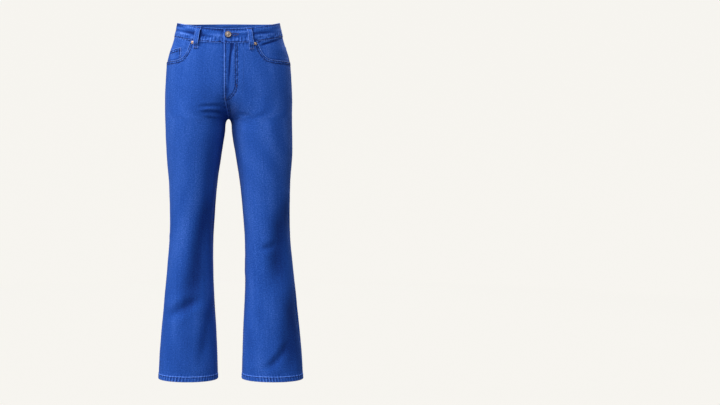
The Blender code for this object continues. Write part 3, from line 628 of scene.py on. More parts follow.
def fly_crease(layer, arc, height):
    """The crease that falls from the waistband beside the fly, and the swell next to it, with
    painted shade in the crease and painted light on the swell.
    """
    middle = lap_line(height) + CREASE_OFF
    middle = middle + CREASE_SLANT * (np.clip(height, *CREASE_BENDS) - CREASE_LEVEL)
    middle = middle + CREASE_STEP * smooth_step((height - CREASE_STEP_FROM) / CREASE_STEP_OVER)
    wider = smooth_step((height - CREASE_WIDER_FROM) / CREASE_WIDER_OVER)
    crease = peak(arc, middle, CREASE_WIDTH * (1 + wider))
    swell = peak(arc - middle, SWELL_OFF, SWELL_WIDTH)
    down = smooth_step((seam_at(FRONT, FLY_SEAM_X) - height) / 5)
    down = down * smooth_step((height - CREASE_FADE_AT) / CREASE_FADE_OVER)
    layer.out += (SWELL_HEIGHT * swell - CREASE_DEPTH * crease) * down
    # Painted shade in the crease and painted light on the swell
    layer.tone += (SWELL_LIGHT * swell - CREASE_SHADE * crease) * down


def left_fly(layer, arc, height, from_edge, seed):
    """The fly's raised face with its edge, its curved stitching and its wear, and the painted shade
    and painted light about it.
    """
    inside = smooth_step((fly_width(height) - (arc - lap_line(height))) / 8)
    layer.out += FLY_RAISE * np.where(height > FLY_BOTTOM, inside, 0.0)
    layer.seam(from_edge, height, seed, reach=5.0, strength=0.25, pitch=7.0)
    layer.wear_and_painted_shade(from_edge - 0.8, width=1.3, tone=1.5)
    from_row = from_edge - FLY_ROW + FIRST_ROW
    layer.sewn(from_row, height, "fly_edge", second_share=height < FLY_BOTTOM)
    distance, along = away_from_line(arc, height, fly_curve())
    distance = np.where(height > CROTCH, distance, NOWHERE)
    layer.seam(distance, along, seed + 2, reach=5.0, strength=0.22, pitch=7.0)
    inward = np.where(inside_fly(arc, height), distance, -distance)
    layer.sewn(inward + FIRST_ROW, along, "fly_curve")
    # Painted shade at the fly's foot and painted light beside the crotch
    layer.patch(arc - lap_line(height), height, FLY_FOOT_SHADE)
    layer.patch(arc, height, LEFT_INNER_PAINTED_LIGHT)
    fly_crease(layer, arc, height)


def front_layer(side, arc, height):
    """The relief of a front panel."""
    layer = Layer(arc.shape)
    seed = PUCKER_SEEDS["front"][side]
    uneven_leg(layer, arc, height, UNEVEN_SEEDS["front"] + side)
    trunk = height > CROTCH
    length = length_round(side, FRONT, height)
    to_side, to_inner = length - arc, np.where(trunk, NOWHERE, arc)
    layer.seam(to_inner, height, seed, reach=INSEAM_REACH, strength=0.4, pitch=7.5, wear=1.0)
    layer.sewn(to_inner, height, f"inseam_{SIDE_NAMES[side]}")
    layer.wear_and_painted_shade(to_inner - 4.0, width=2.6, tone=-0.4)
    layer.seam(to_side, height, seed + 1, reach=14.0, strength=0.25, pitch=8.5)
    layer.sewn(to_side, height, "outseam_front")
    layer.tone += leg_fade(arc / length, height)
    lap = side * lap_line(height)
    from_edge = np.where(trunk, np.abs(arc - lap), NOWHERE)
    if side == LEFT:
        left_fly(layer, arc, height, from_edge, seed)
    else:
        layer.patch(arc, height, RIGHT_INNER_SHADE)
        layer.out -= LAP_TUCK * np.where(trunk, smooth_step((lap + 1.0 - arc) / 2.5), 0.0)
        # Painted shadow beside the lap's edge, where the left front lies over it
        layer.wear_and_painted_shade(from_edge, width=3.0, tone=-0.35)
        layer.seam(from_edge, height, seed, reach=8.0, strength=0.25, pitch=10.0)
    distance, along = away_from_line(arc, height, mouth_line(side))
    layer.raised(distance, 9.5, 0.6)
    layer.seam(distance - 5.0, along, seed + 3, reach=5.0, strength=0.25, pitch=7.0)
    layer.sewn(distance, along, "mouth")
    layer.wear_and_painted_shade(distance, width=1.4, tone=1.6)
    layer.tone -= 0.25 * plateau(distance, 7.0, 4.0)
    # Painted shadow on the panel under the waistband's lower edge
    under = seam_height(FRONT, arc / length) - height
    layer.wear_and_painted_shade(np.maximum(under, 0), width=2.6, tone=-0.9)
    layer.seam(under, arc, seed + 5, reach=9.0, strength=0.3, pitch=9.0)
    hem_relief(layer, arc, height, seed)
    return layer


def back_outseam(layer, side, arc, height, seed):
    """The outseam along a back panel and a yoke."""
    to_side = length_round(side, BACK, height) - arc
    layer.seam(to_side, height, seed, reach=4.5, strength=0.2, pitch=9.0)
    layer.sewn(to_side, height, "outseam_back")


def back_layer(side, arc, height):
    """The relief of a back panel."""
    layer = Layer(arc.shape)
    seed = PUCKER_SEEDS["back"][side]
    uneven_leg(layer, arc, height, UNEVEN_SEEDS["back"] + side)
    trunk = height > CROTCH
    to_inner = np.where(trunk, NOWHERE, arc)
    layer.seam(to_inner, height, seed, reach=5.5, strength=0.22)
    layer.sewn(to_inner, height, "inseam_back")
    back_outseam(layer, side, arc, height, seed + 1)
    sew_centre(layer, side, np.where(trunk, np.abs(arc), NOWHERE), height)
    share = arc / length_round(side, BACK, height)
    layer.tone += leg_fade(share, height)
    below = yoke_line(share) - height
    layer.seam(np.abs(below), arc, seed + 2, reach=5.0, strength=0.25)
    # Painted shade on the panel under the yoke's raised edge
    layer.wear_and_painted_shade(below - 1.0, width=2.0, tone=-0.35)
    layer.out -= LAP_TUCK * smooth_step((1.0 - below) / 2.5)
    hem_relief(layer, arc, height, seed)
    return layer


def sew_centre(layer, side, centre, height):
    """The seat seam, turned and sewn down twice on its left side."""
    layer.seam(centre, height, 0.7, reach=7.0, strength=0.6, pitch=9.0)
    if side == LEFT:
        layer.raised(centre, 8.5, 0.5)
    layer.sewn(centre, height, f"centre_{SIDE_NAMES[side]}")


def yoke_line(share):
    """The yoke's lower edge."""
    return YOKE_AT_CENTRE + (YOKE_AT_SIDE - YOKE_AT_CENTRE) * share


def yoke_layer(side, arc, height):
    """The relief of a yoke."""
    layer = Layer(arc.shape)
    seed = PUCKER_SEEDS["yoke"][side]
    layer.uneven(arc, height, UNEVEN_SEEDS["yoke"] + side, lift=0.2, wave=50.0, wear=0.08)
    above = height - yoke_line(arc / length_round(side, BACK, height))
    layer.raised(above, 9.0, 0.8)
    layer.seam(above - 5.0, arc, seed, reach=5.0, strength=0.4, pitch=7.0)
    layer.sewn(above, arc, "yoke")
    sew_centre(layer, side, np.abs(arc), height)
    back_outseam(layer, side, arc, height, seed + 2)
    return layer


def band_layer(travel, part):
    """The relief of the waistband, by the way along it and the part of its height."""
    layer = Layer(travel.shape)
    seed = UNEVEN_SEEDS["band"]
    level = part * BAND_HEIGHT
    full = 1 - np.abs(2 * part - 1) ** 5
    layer.out += 0.45 * full + 0.25 * unevenness(travel, level * 2, 60.0, seed)
    slanted = travel - BAND_ROPE_SLANT * level
    rope = 0.7 * puckers(slanted, 1.9, 9.5)
    rope = rope + 0.6 * unevenness(travel * 3.0, level, 12.0, seed + 3)
    top_rope = puckers(slanted, 0.4, 8.0)
    low = plateau(level, BAND_ROPE_AT, BAND_ROPE_TALL)
    high = peak(np.maximum(BAND_TOP_ROPE_FROM - level, 0), 0.0, 4.0)
    layer.out += 0.35 * rope * low + 0.22 * top_rope * high
    layer.tone += (0.25 + 0.8 * rope) * low + 0.5 * top_rope * high
    layer.tone += 0.08 * unevenness(travel, level * 0.6, 40.0, seed + 1) - 0.25
    rumpled = unevenness(travel * 0.3, level * 2.0, 30.0, seed + 2)
    rumpled = rumpled * smooth_step((level - BAND_ROPE_AT) / 6)
    layer.out += 0.5 * rumpled
    layer.tone += 0.7 * rumpled
    layer.wear_and_painted_shade(level, width=1.5, tone=0.5)
    layer.sewn(level, travel, "band_foot")
    layer.sewn(BAND_HEIGHT - level, travel, "band_top")
    from_end = np.maximum(travel - FLY_EDGE, 0.0)
    layer.sewn(from_end - FLY_ROW + FIRST_ROW, level, "band_end")
    return layer


def facing_crease(layer, x, below_band):
    """The slanting crease in the left facing, with a swell above it and painted shade in the
    crease.
    """
    from_mouth = x - MOUTHS[LEFT][0]
    dip = below_band - FACING_CREASE_BELOW
    dip = dip + FACING_CREASE_SLOPE * (from_mouth - FACING_CREASE_FROM)
    reach = smooth_step((from_mouth - FACING_CREASE_START) / 12.0)
    reach = reach * smooth_step((FACING_CREASE_END - x) / 40.0)
    crease = peak(dip, 0.0, FACING_CREASE_WIDTH)
    layer.out += (0.6 * peak(dip, -5.0, 3.0) - 1.5 * crease) * reach
    # Painted shade in the crease
    layer.tone -= 1.7 * crease * reach


def facing_layer(side, arc, height):
    """The relief of a pocket's facing, which lies deep under the mouth and flush at the seams."""
    layer = Layer(arc.shape)
    half, share = spot(side, FRONT, arc, height)
    points, _ = on_form(half, FRONT, share, height)
    x = side * points[..., 0]
    above = height - mouth_height(side, x)
    inset = FACING_DEPTH * smooth_step((34 - above) / 26)
    inset = np.where(x < MOUTHS[side][0] + 4, FACING_DEPTH, inset)
    to_side = length_round(side, FRONT, height) - arc
    open_part = smooth_step(above / 6)
    layer.out -= inset * (1 - open_part * (1 - smooth_step(to_side / 14)))
    layer.uneven(arc, height, UNEVEN_SEEDS["facing"] + side, lift=0.25, wave=45.0, wear=0.1)
    # Painted shadow on the facing under the mouth's edge
    layer.wear_and_painted_shade(np.maximum(above, 0), width=4.0, tone=-1.0)
    layer.seam(to_side, height, 1.1, reach=4.0, strength=0.2, pitch=8.0)
    layer.sewn(to_side, height, "outseam_facing")
    below_band = seam_height(FRONT, share) - height
    layer.seam(below_band, arc, 2.6, reach=6.0, strength=0.25, pitch=9.0)
    if side == LEFT:
        facing_crease(layer, x, below_band)
    return layer


def pocket_bounds(part, across):
    """A back pocket's (x, height) for parts down and across it."""
    bottom = np.where(
        across < POCKET_POINT,
        POCKET_CORNER + (POCKET_TIP - POCKET_CORNER) * across / POCKET_POINT,
        POCKET_TIP + (POCKET_CORNER - POCKET_TIP) * (across - POCKET_POINT) / (1 - POCKET_POINT),
    )
    height = POCKET_TOP + (bottom - POCKET_TOP) * part
    down = (POCKET_TOP - height) / (POCKET_TOP - POCKET_CORNER)
    inner = POCKET_INNER[0] + (POCKET_INNER[1] - POCKET_INNER[0]) * down
    outer = POCKET_OUTER[0] + (POCKET_OUTER[1] - POCKET_OUTER[0]) * down
    return inner + (outer - inner) * across, height


def pocket_outline():
    """A back pocket's outline in (x, height), from the inner top corner down and round."""
    tip = POCKET_INNER[1] + POCKET_POINT * (POCKET_OUTER[1] - POCKET_INNER[1])
    x = (POCKET_INNER[0], POCKET_INNER[1], tip, POCKET_OUTER[1], POCKET_OUTER[0])
    height = (POCKET_TOP, POCKET_CORNER, POCKET_TIP, POCKET_CORNER, POCKET_TOP)
    return np.stack([x, height], axis=1)


def pocket_layer(side, x, height):
    """The relief of a back pocket."""
    layer = Layer(x.shape)
    seed = PUCKER_SEEDS["pocket"][side]
    distance, along = away_from_line(x, height, pocket_outline())
    from_top = POCKET_TOP - height
    layer.out += 0.7 * smooth_step(distance / 40.0)
    uneven_seed = UNEVEN_SEEDS["pocket"] + side
    layer.uneven(x, height, uneven_seed, lift=0.2, wave=40.0, wear=0.08, long=0.4)
    layer.seam(distance - 5.0, along, seed, reach=5.0, strength=0.45, pitch=7.5)
    layer.sewn(distance, along, "pocket")
    layer.sewn(from_top - POCKET_HEM + 2 * FIRST_ROW, x, "pocket_hem")
    hem = smooth_step((POCKET_HEM - from_top) / 1.5)
    rope = puckers(x + 0.3 * from_top, seed, 8.5)
    layer.out += hem * (0.5 + 0.3 * rope)
    layer.tone += hem * (0.15 + 0.7 * rope)
    layer.wear_and_painted_shade(from_top, width=1.4, tone=0.8)
    return layer


# Meshes


def edge_lines(length, step=MESH_STEP, start=True):
    """Distances along a side of a piece, close together at its edges."""
    low = EDGE_LINES if start else (0.0,)
    inner = length - low[-1] - EDGE_LINES[-1]
    count = max(int(round(inner / step)), 2)
    middle = low[-1] + inner * np.arange(1, count) / count
    return np.concatenate([low, middle, length - np.array(EDGE_LINES[::-1])])


def edge_parts(length, step=MESH_STEP, start=True):
    """The same as parts of the length."""
    return edge_lines(length, step, start) / length


def from_edge_to_edge(top, bottom, down):
    """A grid from its upper edge to its lower one, with a row for each part of the way down."""
    return top[None, :] + (bottom - top)[None, :] * down[:, None]


def tube_faces(rings, sides):
    """The faces of a closed tube of rings of points: its walls, then its two ends."""
    faces = []
    for low in range(0, (rings - 1) * sides, sides):
        high = low + sides
        for a in range(sides):
            b = (a + 1) % sides
            faces.append((low + a, low + b, high + b, high + a))
    last = (rings - 1) * sides
    return faces + [tuple(range(sides))[::-1], tuple(range(last, last + sides))]


def rounded(distance, thickness):
    """How far a skin turns in towards the middle of the cloth at its edge."""
    near = 1 - np.clip(distance / (0.62 * thickness), 0.0, 1.0)
    return 0.36 * thickness * (1 - np.sqrt(1 - near**2))


def shell(name, outer, inner, layer, weave, material, node):
    """A closed thin wall between two grids of points, with its wear and its painted light and
    shade, its weave and its seams.
    """
    rows, columns = outer.shape[:2]
    count = rows * columns
    index = np.arange(count).reshape(rows, columns)
    a, b = index[:-1, :-1].ravel(), index[:-1, 1:].ravel()
    c, d = index[1:, 1:].ravel(), index[1:, :-1].ravel()
    rim = [index[0, :], index[1:, -1], index[-1, -2::-1], index[-2:0:-1, 0]]
    rim = np.concatenate(rim)
    after = np.roll(rim, -1)
    skins = [np.stack([a, b, c, d], 1), np.stack([d, c, b, a], 1) + count]
    faces = np.concatenate([*skins, np.stack([rim, rim + count, after + count, after], 1)])
    points = np.concatenate([outer.reshape(-1, 3), inner.reshape(-1, 3)]) * MM
    middle = (rows // 2, columns // 2)
    step_a = outer[middle[0] + 1, middle[1]] - outer[middle]
    step_b = outer[middle[0], middle[1] + 1] - outer[middle]
    if np.dot(np.cross(step_b, step_a), outer[middle] - inner[middle]) < 0:
        faces = faces[:, ::-1]
    tone, sewn = layer.tone.ravel(), layer.rows.reshape(-1, 3)
    seam = np.stack([layer.near, layer.along], axis=-1).reshape(-1, 2) * MM
    details = {
        "tone": np.concatenate([tone, tone * 0.3]),
        "inside": np.concatenate([np.zeros(count), np.ones(count)]),
        "sewn": np.concatenate([sewn, sewn * 0]),
        "weave": np.concatenate([weave.reshape(-1, 2)] * 2) * MM,
        "seam": np.concatenate([seam, seam]),
    }
    return solid(name, points, faces, material, [node], details)


def solid(name, points, faces, material, nodes, details=()):
    """A mesh object from points and faces, which stands for some CAD nodes."""
    mesh = bpy.data.meshes.new(name)
    mesh.from_pydata(points.tolist(), [], [list(map(int, face)) for face in faces])
    corners = np.zeros(len(mesh.loops), np.int32)
    mesh.loops.foreach_get("vertex_index", corners)
    for key, values in dict(details).items():
        if key in ("weave", "seam"):
            flat = np.ascontiguousarray(values[corners].ravel(), np.float32)
            mesh.uv_layers.new(name=key).data.foreach_set("uv", flat)
        else:
            kind, field = ("FLOAT", "value") if values.ndim == 1 else ("FLOAT_VECTOR", "vector")
            store = mesh.attributes.new(key, kind, "POINT")
            store.data.foreach_set(field, np.ascontiguousarray(values.ravel(), np.float32))
    mesh.shade_smooth()
    mesh.materials.append(material)
    mesh.update()
    piece = bpy.data.objects.new(name, mesh)
    bpy.context.scene.collection.objects.link(piece)
    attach(piece, "root")
    if nodes:
        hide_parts(*nodes)
    return piece


def cut_of(outer):
    """The flat cut of what shows of a piece: width, length and area, in metres."""
    across = np.linalg.norm(np.diff(outer, axis=1), axis=2).sum(1).max() * MM
    down = np.linalg.norm(np.diff(outer, axis=0), axis=2).sum(0).max() * MM
    a, b = outer[1:, 1:] - outer[:-1, :-1], outer[:-1, 1:] - outer[1:, :-1]
    area = np.linalg.norm(np.cross(a, b), axis=2).sum() / 2 * MM * MM
    return (round(across, 3), round(down, 3)), round(min(area, across * down), 4)


def as_sheet(outer):
    """Works out the width, length and area of a cloth piece's cut, which are not used further."""
    flat, area = cut_of(outer)


def cloth_piece(name, spots, layer, thickness, edges, weave, material, node):
    """A cloth piece on the form from its grid of spots: half, face, share and height."""
    turn = rounded(edges, thickness)
    outer, _, depth = cloth_at(*spots, layer.out - turn)
    inner, _, _ = cloth_at(*spots, layer.out - thickness + turn)
    # Painted shade in the creases' troughs and painted light on their lips and ridges
    layer.tone = layer.tone - 0.10 * depth
    piece = shell(name, outer, inner, layer, weave, material, node)
    as_sheet(outer)
    return piece


def leg_piece(name, place, layer, thickness, edges, material, node, middle=None):
    """A cloth piece of a leg from its place: the side, the face, the way round and the height."""
    side, face, arc, height = place
    half, share = spot(side, face, arc, height)
    if middle is None:
        middle = length_round(side, face, height) / 2
    spots, weave = (half, face, share, height), np.stack([arc - middle, height], axis=-1)
    return cloth_piece(name, spots, layer, thickness, edges, weave, material, node)


def leg_rows(top, share):
    """The heights of a panel's rows, from its upper edge to the hem, one column each."""
    first = np.array(EDGE_LINES)
    trunk = np.linspace(0.0, 1.0, TRUNK_LINES)[1:-1]
    trunk = trunk[:, None] + (trunk - trunk**2)[:, None] * ((1 - share) ** 2)[None, :]
    under = top - first[-1]
    trunk = under[None, :] + (CROTCH - under)[None, :] * trunk
    drop = np.linspace(0.0, CROTCH - HEM - HEM_DEPTH - LEG_GAP, LEG_LINES)[:, None]
    crowded = drop * (1 - np.exp(-((drop / LEG_CROWDED) ** 1.5)))
    legs = CROTCH - (crowded + (drop - crowded) * (1 - (1 - share[None, :]) ** 2))
    hem = HEM + np.concatenate([ABOVE_HEM_LINES, EDGE_LINES[::-1]])
    hem = np.repeat(hem[:, None], len(share), axis=1)
    return np.concatenate([top[None, :] - first[:, None], trunk, legs, hem])


def panel_thickness(height):
    """The cloth's thickness: double at the hem."""
    return np.where(height - HEM < HEM_DEPTH, HEM_CLOTH, DENIM)


def front_start(side, height):
    """The arc at which a front panel starts: the fly's edge, or the inseam."""
    trunk = height > CROTCH
    start = np.where(trunk, side * lap_line(height), 0.0)
    if side == RIGHT:
        under = smooth_step((height - UNDER_FLY_FROM) / UNDER_FLY_OVER)
        start = start - UNDER_FLY * np.where(trunk, under, 0.0)
    return start


def front_spots(side):
    """A front panel's grid: arc and height, and the arc at which its rows start."""
    start, _, _ = MOUTHS[side]
    level = seam_at(FRONT, start)
    first = float(front_start(side, np.array(level)))
    length = float(length_round(side, FRONT, level)) - first
    corner = arc_of_x(side, FRONT, start, level) - first
    across = edge_lines(length)
    crowded = [corner + CROWDED_MOUTH] + ([CROWDED_FLY] if side == LEFT else [])
    for low, high in crowded:
        close = np.arange(low, high, CROWDED_STEP)
        across = across[(across < close[0] - 1) | (across > close[-1] + 1)]
        across = np.sort(np.concatenate([across, close]))
    share = across / length
    top = np.full(share.shape, level)
    for _ in range(30):
        begin = front_start(side, top)
        arc = begin + (length_round(side, FRONT, top) - begin) * share
        half, at = spot(side, FRONT, arc, top)
        x = side * on_form(half, FRONT, at, top)[0][..., 0]
        seam = seam_height(FRONT, at)
        edge = np.minimum(mouth_height(side, x), seam)
        top = np.where(x > start, edge, seam + UNDER_BAND)
    height = leg_rows(top, share)
    begin = front_start(side, height)
    arc = begin + (length_round(side, FRONT, height) - begin) * share[None, :]
    return arc, height, begin, top


def make_front(side, material):
    """A front leg: under the waistband and along the pocket's mouth above, the hem below."""
    arc, height, begin, top = front_spots(side)
    to_side = length_round(side, FRONT, height) - arc
    edges = np.minimum(np.minimum(arc - begin, to_side), height - HEM)
    edges = np.minimum(edges, (top[None, :] - height) * 0.8)
    return leg_piece(
        f"denim_front_{SIDE_NAMES[side]}",
        (side, FRONT, arc, height),
        front_layer(side, arc, height),
        panel_thickness(height),
        edges,
        material,
        f"front_panel_{SIDE_NAMES[side]}",
    )


def make_back(side, material):
    """A back leg: under the yoke above, the hem below."""
    share = edge_parts(float(length_round(side, BACK, BACK_LEVEL)))
    height = leg_rows(yoke_line(share) + UNDER_YOKE, share)
    length = length_round(side, BACK, height)
    arc = length * share[None, :]
    return leg_piece(
        f"denim_back_{SIDE_NAMES[side]}",
        (side, BACK, arc, height),
        back_layer(side, arc, height),
        panel_thickness(height),
        np.minimum(np.minimum(arc, length - arc), height - HEM),
        material,
        f"back_panel_{SIDE_NAMES[side]}",
    )


def make_yoke(side, material):
    """The shaped piece between the waistband and a back leg."""
    share = edge_parts(float(length_round(side, BACK, YOKE_LEVEL)), YOKE_STEP)
    top, bottom = seam_height(BACK, share) + UNDER_BAND, yoke_line(share)
    height = from_edge_to_edge(top, bottom, edge_parts(YOKE_TALL, PATCH_STEP))
    length = length_round(side, BACK, height)
    arc = length * share[None, :]
    return leg_piece(
        f"denim_yoke_{SIDE_NAMES[side]}",
        (side, BACK, arc, height),
        yoke_layer(side, arc, height),
        DENIM,
        np.minimum(np.minimum(arc, length - arc), height - bottom[None, :]),
        material,
        f"yoke_{SIDE_NAMES[side]}",
    )


def band_spots(travel):
    """Half, face and share for the way along the waistband from the middle of the front."""
    front = float(length_round(RIGHT, FRONT, SIDE_SEAM))
    back = float(length_round(RIGHT, BACK, SIDE_SEAM))
    ends = np.array([0.0, front, front + back, front + 2 * back, 2 * (front + back)])
    leg = np.searchsorted(ends, travel, side="right")
    half = np.array([RIGHT, LEFT, LEFT, RIGHT, RIGHT, LEFT])[leg]
    face = np.array([FRONT, FRONT, BACK, BACK, FRONT, FRONT])[leg]
    share = np.select(
        [leg == 0, leg == 1, leg == 2, leg == 3, leg == 4],
        [
            -travel / front,
            travel / front,
            1 - (travel - ends[1]) / back,
            (travel - ends[2]) / back,
            1 - (travel - ends[3]) / front,
        ],
        (travel - ends[4]) / front,
    )
    return half, face, np.clip(share, 0.0, 1.0), float(ends[4])


def band_out(travel, whole):
    """How far the waistband stands out: it dips under the lap at its right end."""
    under = BAND_PROUD - BAND_CLOTH - BAND_DIP_GAP
    dip = smooth_step((travel - whole + BAND_DIP) / BAND_DIP_OVER)
    return BAND_PROUD + (under - BAND_PROUD) * dip


def band_height(face, share, part):
    """The height of a part of the waistband, 0 at its lower edge and 1 at its upper one."""
    low, high = seam_height(face, share), top_height(face, share)
    return low + (high - low) * part


def band_place(travel, part):
    """Points on the waistband's face, and the directions outwards."""
    half, face, share, whole = band_spots(travel)
    out = band_layer(travel, part).out + band_out(travel, whole)
    return cloth_at(half, face, share, band_height(face, share, part), out)[:2]


def band_button_part():
    """The part of the waistband's height at which its button and buttonhole lie."""
    return (BUTTON_Z - float(seam_height(FRONT, 0.0))) / BAND_HEIGHT


def make_waistband(material):
    """The waistband in one piece, its left end lapped over its right one."""
    whole = band_spots(np.zeros(1))[3]
    travel = FLY_EDGE + edge_lines(whole + LAP_UNDER - FLY_EDGE, BAND_STEP)
    along, up = np.meshgrid(travel, edge_parts(BAND_HEIGHT, BAND_LEVEL_STEP))
    half, face, share, _ = band_spots(along)
    height = band_height(face, share, up)
    layer = band_layer(along, up)
    layer.out += band_out(along, whole)
    x = on_form(half, face, share, height)[0][..., 0]
    # Painted shadow on the band beside each front belt loop's right edge
    for _, side, _, x_top, x_bottom, _ in LOOPS[:2]:
        beside = x - side * (x_bottom + (x_top - x_bottom) * up) - LOOP_WIDTH / 2 - 2.0
        layer.wear_and_painted_shade(np.where(face == FRONT, beside, NOWHERE), width=2.4, tone=-1.4)
    layer.wear_and_painted_shade(along - FLY_EDGE, width=1.6, tone=1.1)
    to_ends = np.minimum(along - travel[0], travel[-1] - along)
    return cloth_piece(
        BAND,
        (half, face, share, height),
        layer,
        BAND_CLOTH,
        np.minimum(np.minimum(up, 1 - up) * BAND_HEIGHT, to_ends),
        np.stack([height, along], axis=-1),
        material,
        "waistband",
    )


def make_facing(side, material):
    """The pocket's facing that shows in its mouth, tucked under the front."""
    start, low_end, _ = MOUTHS[side]
    length = float(length_round(side, FRONT, SIDE_SEAM))
    first = arc_of_x(side, FRONT, start - FACING_TUCK / 2, SIDE_SEAM) / length
    share = first + (1 - first) * edge_parts(FACING_WIDE, BAND_STEP, start=False)
    bottom = np.full(share.shape, low_end)
    for _ in range(20):
        x = side * on_form(side, FRONT, share, bottom)[0][..., 0]
        bottom = mouth_height(side, np.maximum(x, start)) - FACING_TUCK
    top = seam_height(FRONT, share) + UNDER_BAND
    height = from_edge_to_edge(top, bottom, np.linspace(0.0, 1.0, FACING_LINES))
    length = length_round(side, FRONT, height)
    arc = length * share[None, :]
    return leg_piece(
        f"denim_facing_{SIDE_NAMES[side]}",
        (side, FRONT, arc, height),
        facing_layer(side, arc, height),
        DENIM,
        length - arc,
        material,
        f"pocket_facing_{SIDE_NAMES[side]}",
    )


def coin_place(x, height, above=0.0):
    """Spots of the coin pocket on the right facing, and its relief."""
    length = length_round(RIGHT, FRONT, height)
    grid_x = np.broadcast_to(x, height.shape)
    arc = arcs_of_x(RIGHT, FRONT, grid_x.ravel(), height.ravel()).reshape(height.shape)
    arc = np.minimum(arc, length - 0.5)
    layer = facing_layer(RIGHT, arc, height)
    layer.out += 0.2 + DENIM + above
    return arc, layer


def coin_side():
    """How far from the middle the outseam lies at the coin pocket's top."""
    return float(section("outer", np.array([COIN_TOP]))[0])


def coin_top(x):
    """The coin pocket's upper edge."""
    return COIN_TOP - COIN_SLOPE * (x - COIN_START) / (coin_side() - COIN_START)


def make_coin_pocket(material):
    """The small pocket on the right facing, its foot inside the front."""
    side_line = coin_side() - 1.0
    across, down = edge_parts(COIN_WIDE, COIN_STEP), edge_parts(COIN_TALL, COIN_STEP)
    top_x = COIN_START + (side_line - COIN_START) * across
    low_x = COIN_START + COIN_SLANT + (side_line + 5 - COIN_START - COIN_SLANT) * across
    x = from_edge_to_edge(top_x, low_x, down)
    high = coin_top(top_x)
    height = from_edge_to_edge(high, MOUTHS[RIGHT][1] - COIN_TUCK, down)
    arc, layer = coin_place(x, height)
    from_top, from_side = high[None, :] - height, x - x[:, :1]
    layer.raised(from_top, 8.0, 0.4)
    layer.seam(from_top - 5.0, x, 2.0, reach=5.0, strength=0.25, pitch=7.0)
    layer.sewn(from_top, x, "coin_top")
    layer.sewn(from_side, height, "coin_side")
    layer.wear_and_painted_shade(from_top, width=1.5, tone=1.0)
    layer.wear_and_painted_shade(from_side, width=1.4, tone=0.6)
    return leg_piece(
        "denim_coin_pocket",
        (RIGHT, FRONT, arc, height),
        layer,
        DENIM,
        np.minimum(from_top, from_side),
        material,
        "coin_pocket",
        middle=0.0,
    )


def back_pocket_place(side, x, height):
    """The ways round of a back pocket's spots, and its relief on top of the panel's."""
    arc = arcs_of_x(side, BACK, x.ravel(), height.ravel()).reshape(height.shape)
    layer = pocket_layer(side, x, height)
    layer.out += back_layer(side, arc, height).out + 0.25 + POCKET_CLOTH
    return arc, layer


def make_back_pocket(side, material):
    """A patch pocket on a back leg, straight above and pointed below."""
    across, down = edge_parts(POCKET_WIDE, PATCH_STEP), edge_parts(POCKET_TALL, PATCH_STEP)
    across, down = np.meshgrid(across, down)
    x, height = pocket_bounds(down, across)
    arc, layer = back_pocket_place(side, x, height)
    distance, _ = away_from_line(x, height, pocket_outline())
    return leg_piece(
        f"denim_back_pocket_{SIDE_NAMES[side]}",
        (side, BACK, arc, height),
        layer,
        POCKET_CLOTH,
        np.minimum(distance, POCKET_TOP - height),
        material,
        f"back_pocket_{SIDE_NAMES[side]}",
        middle=105.0,
    )


def loop_ends(side, face, x_top, x_bottom):
    """The heights of a belt loop's top, its foot and the waistband's seam behind it."""
    share = arc_of_x(side, face, x_top, SIDE_TOP) / float(length_round(side, face, SIDE_TOP))
    seam = seam_at(face, x_bottom)
    return float(top_height(face, share)) - 0.3, seam - LOOP_BELOW, seam


def loop_place(loop, across, height, above=0.0):
    """Points on a belt loop's face, and the directions outwards."""
    _, side, face, x_top, x_bottom, stand_off = loop
    top, bottom, seam = loop_ends(side, face, x_top, x_bottom)
    x = x_bottom + (x_top - x_bottom) * (height - bottom) / (top - bottom)
    middle = arcs_of_x(side, face, x.ravel(), height.ravel()).reshape(height.shape)
    clear = np.minimum(top - LOOP_TACK - height, height - bottom - LOOP_TACK)
    out = 0.3 + stand_off * smooth_step(clear / LOOP_BEND)
    out = out + BAND_PROUD * smooth_step((height - seam + 4.5) / 2.5)
    out = out + LOOP_CLOTH + 0.25 * (1 - (2 * np.abs(across) / LOOP_WIDTH) ** 2)
    arc = middle + across
    half, share = spot(side, face, arc, height)
    return cloth_at(half, face, share, height, out + above)[:2]


def make_loop(loop, material):
    """A belt loop, tacked at both ends and standing off the waistband between them."""
    name, side, face, x_top, x_bottom, _ = loop
    top, bottom, _ = loop_ends(side, face, x_top, x_bottom)
    over = edge_lines(LOOP_WIDTH, LOOP_STEP) - LOOP_WIDTH / 2
    across, drop = np.meshgrid(over, edge_lines(top - bottom, LOOP_LEVEL_STEP))
    height = top - drop
    from_side, from_end = LOOP_WIDTH / 2 - np.abs(across), np.minimum(drop, top - bottom - drop)
    turn = rounded(np.minimum(from_side, from_end), LOOP_CLOTH)
    ripple = 0.18 * puckers(height, 1.0, 6.5) * peak(np.abs(across), LOOP_ROW, 1.8)
    outer, _ = loop_place(loop, across, height, ripple - turn)
    inner, _ = loop_place(loop, across, height, turn - LOOP_CLOTH)
    layer = Layer(across.shape)
    layer.tone += 0.10 + 2.2 * ripple
    layer.wear_and_painted_shade(from_end, width=1.5, tone=0.4)
    layer.sewn(from_side, height + np.sign(across) * LOOP_SIDES_APART, "loop")
    weave = np.stack([across, height], axis=-1)
    piece = shell(f"denim_{name}", outer, inner, layer, weave, material, name)
    as_sheet(outer)
    return piece


# Sewing


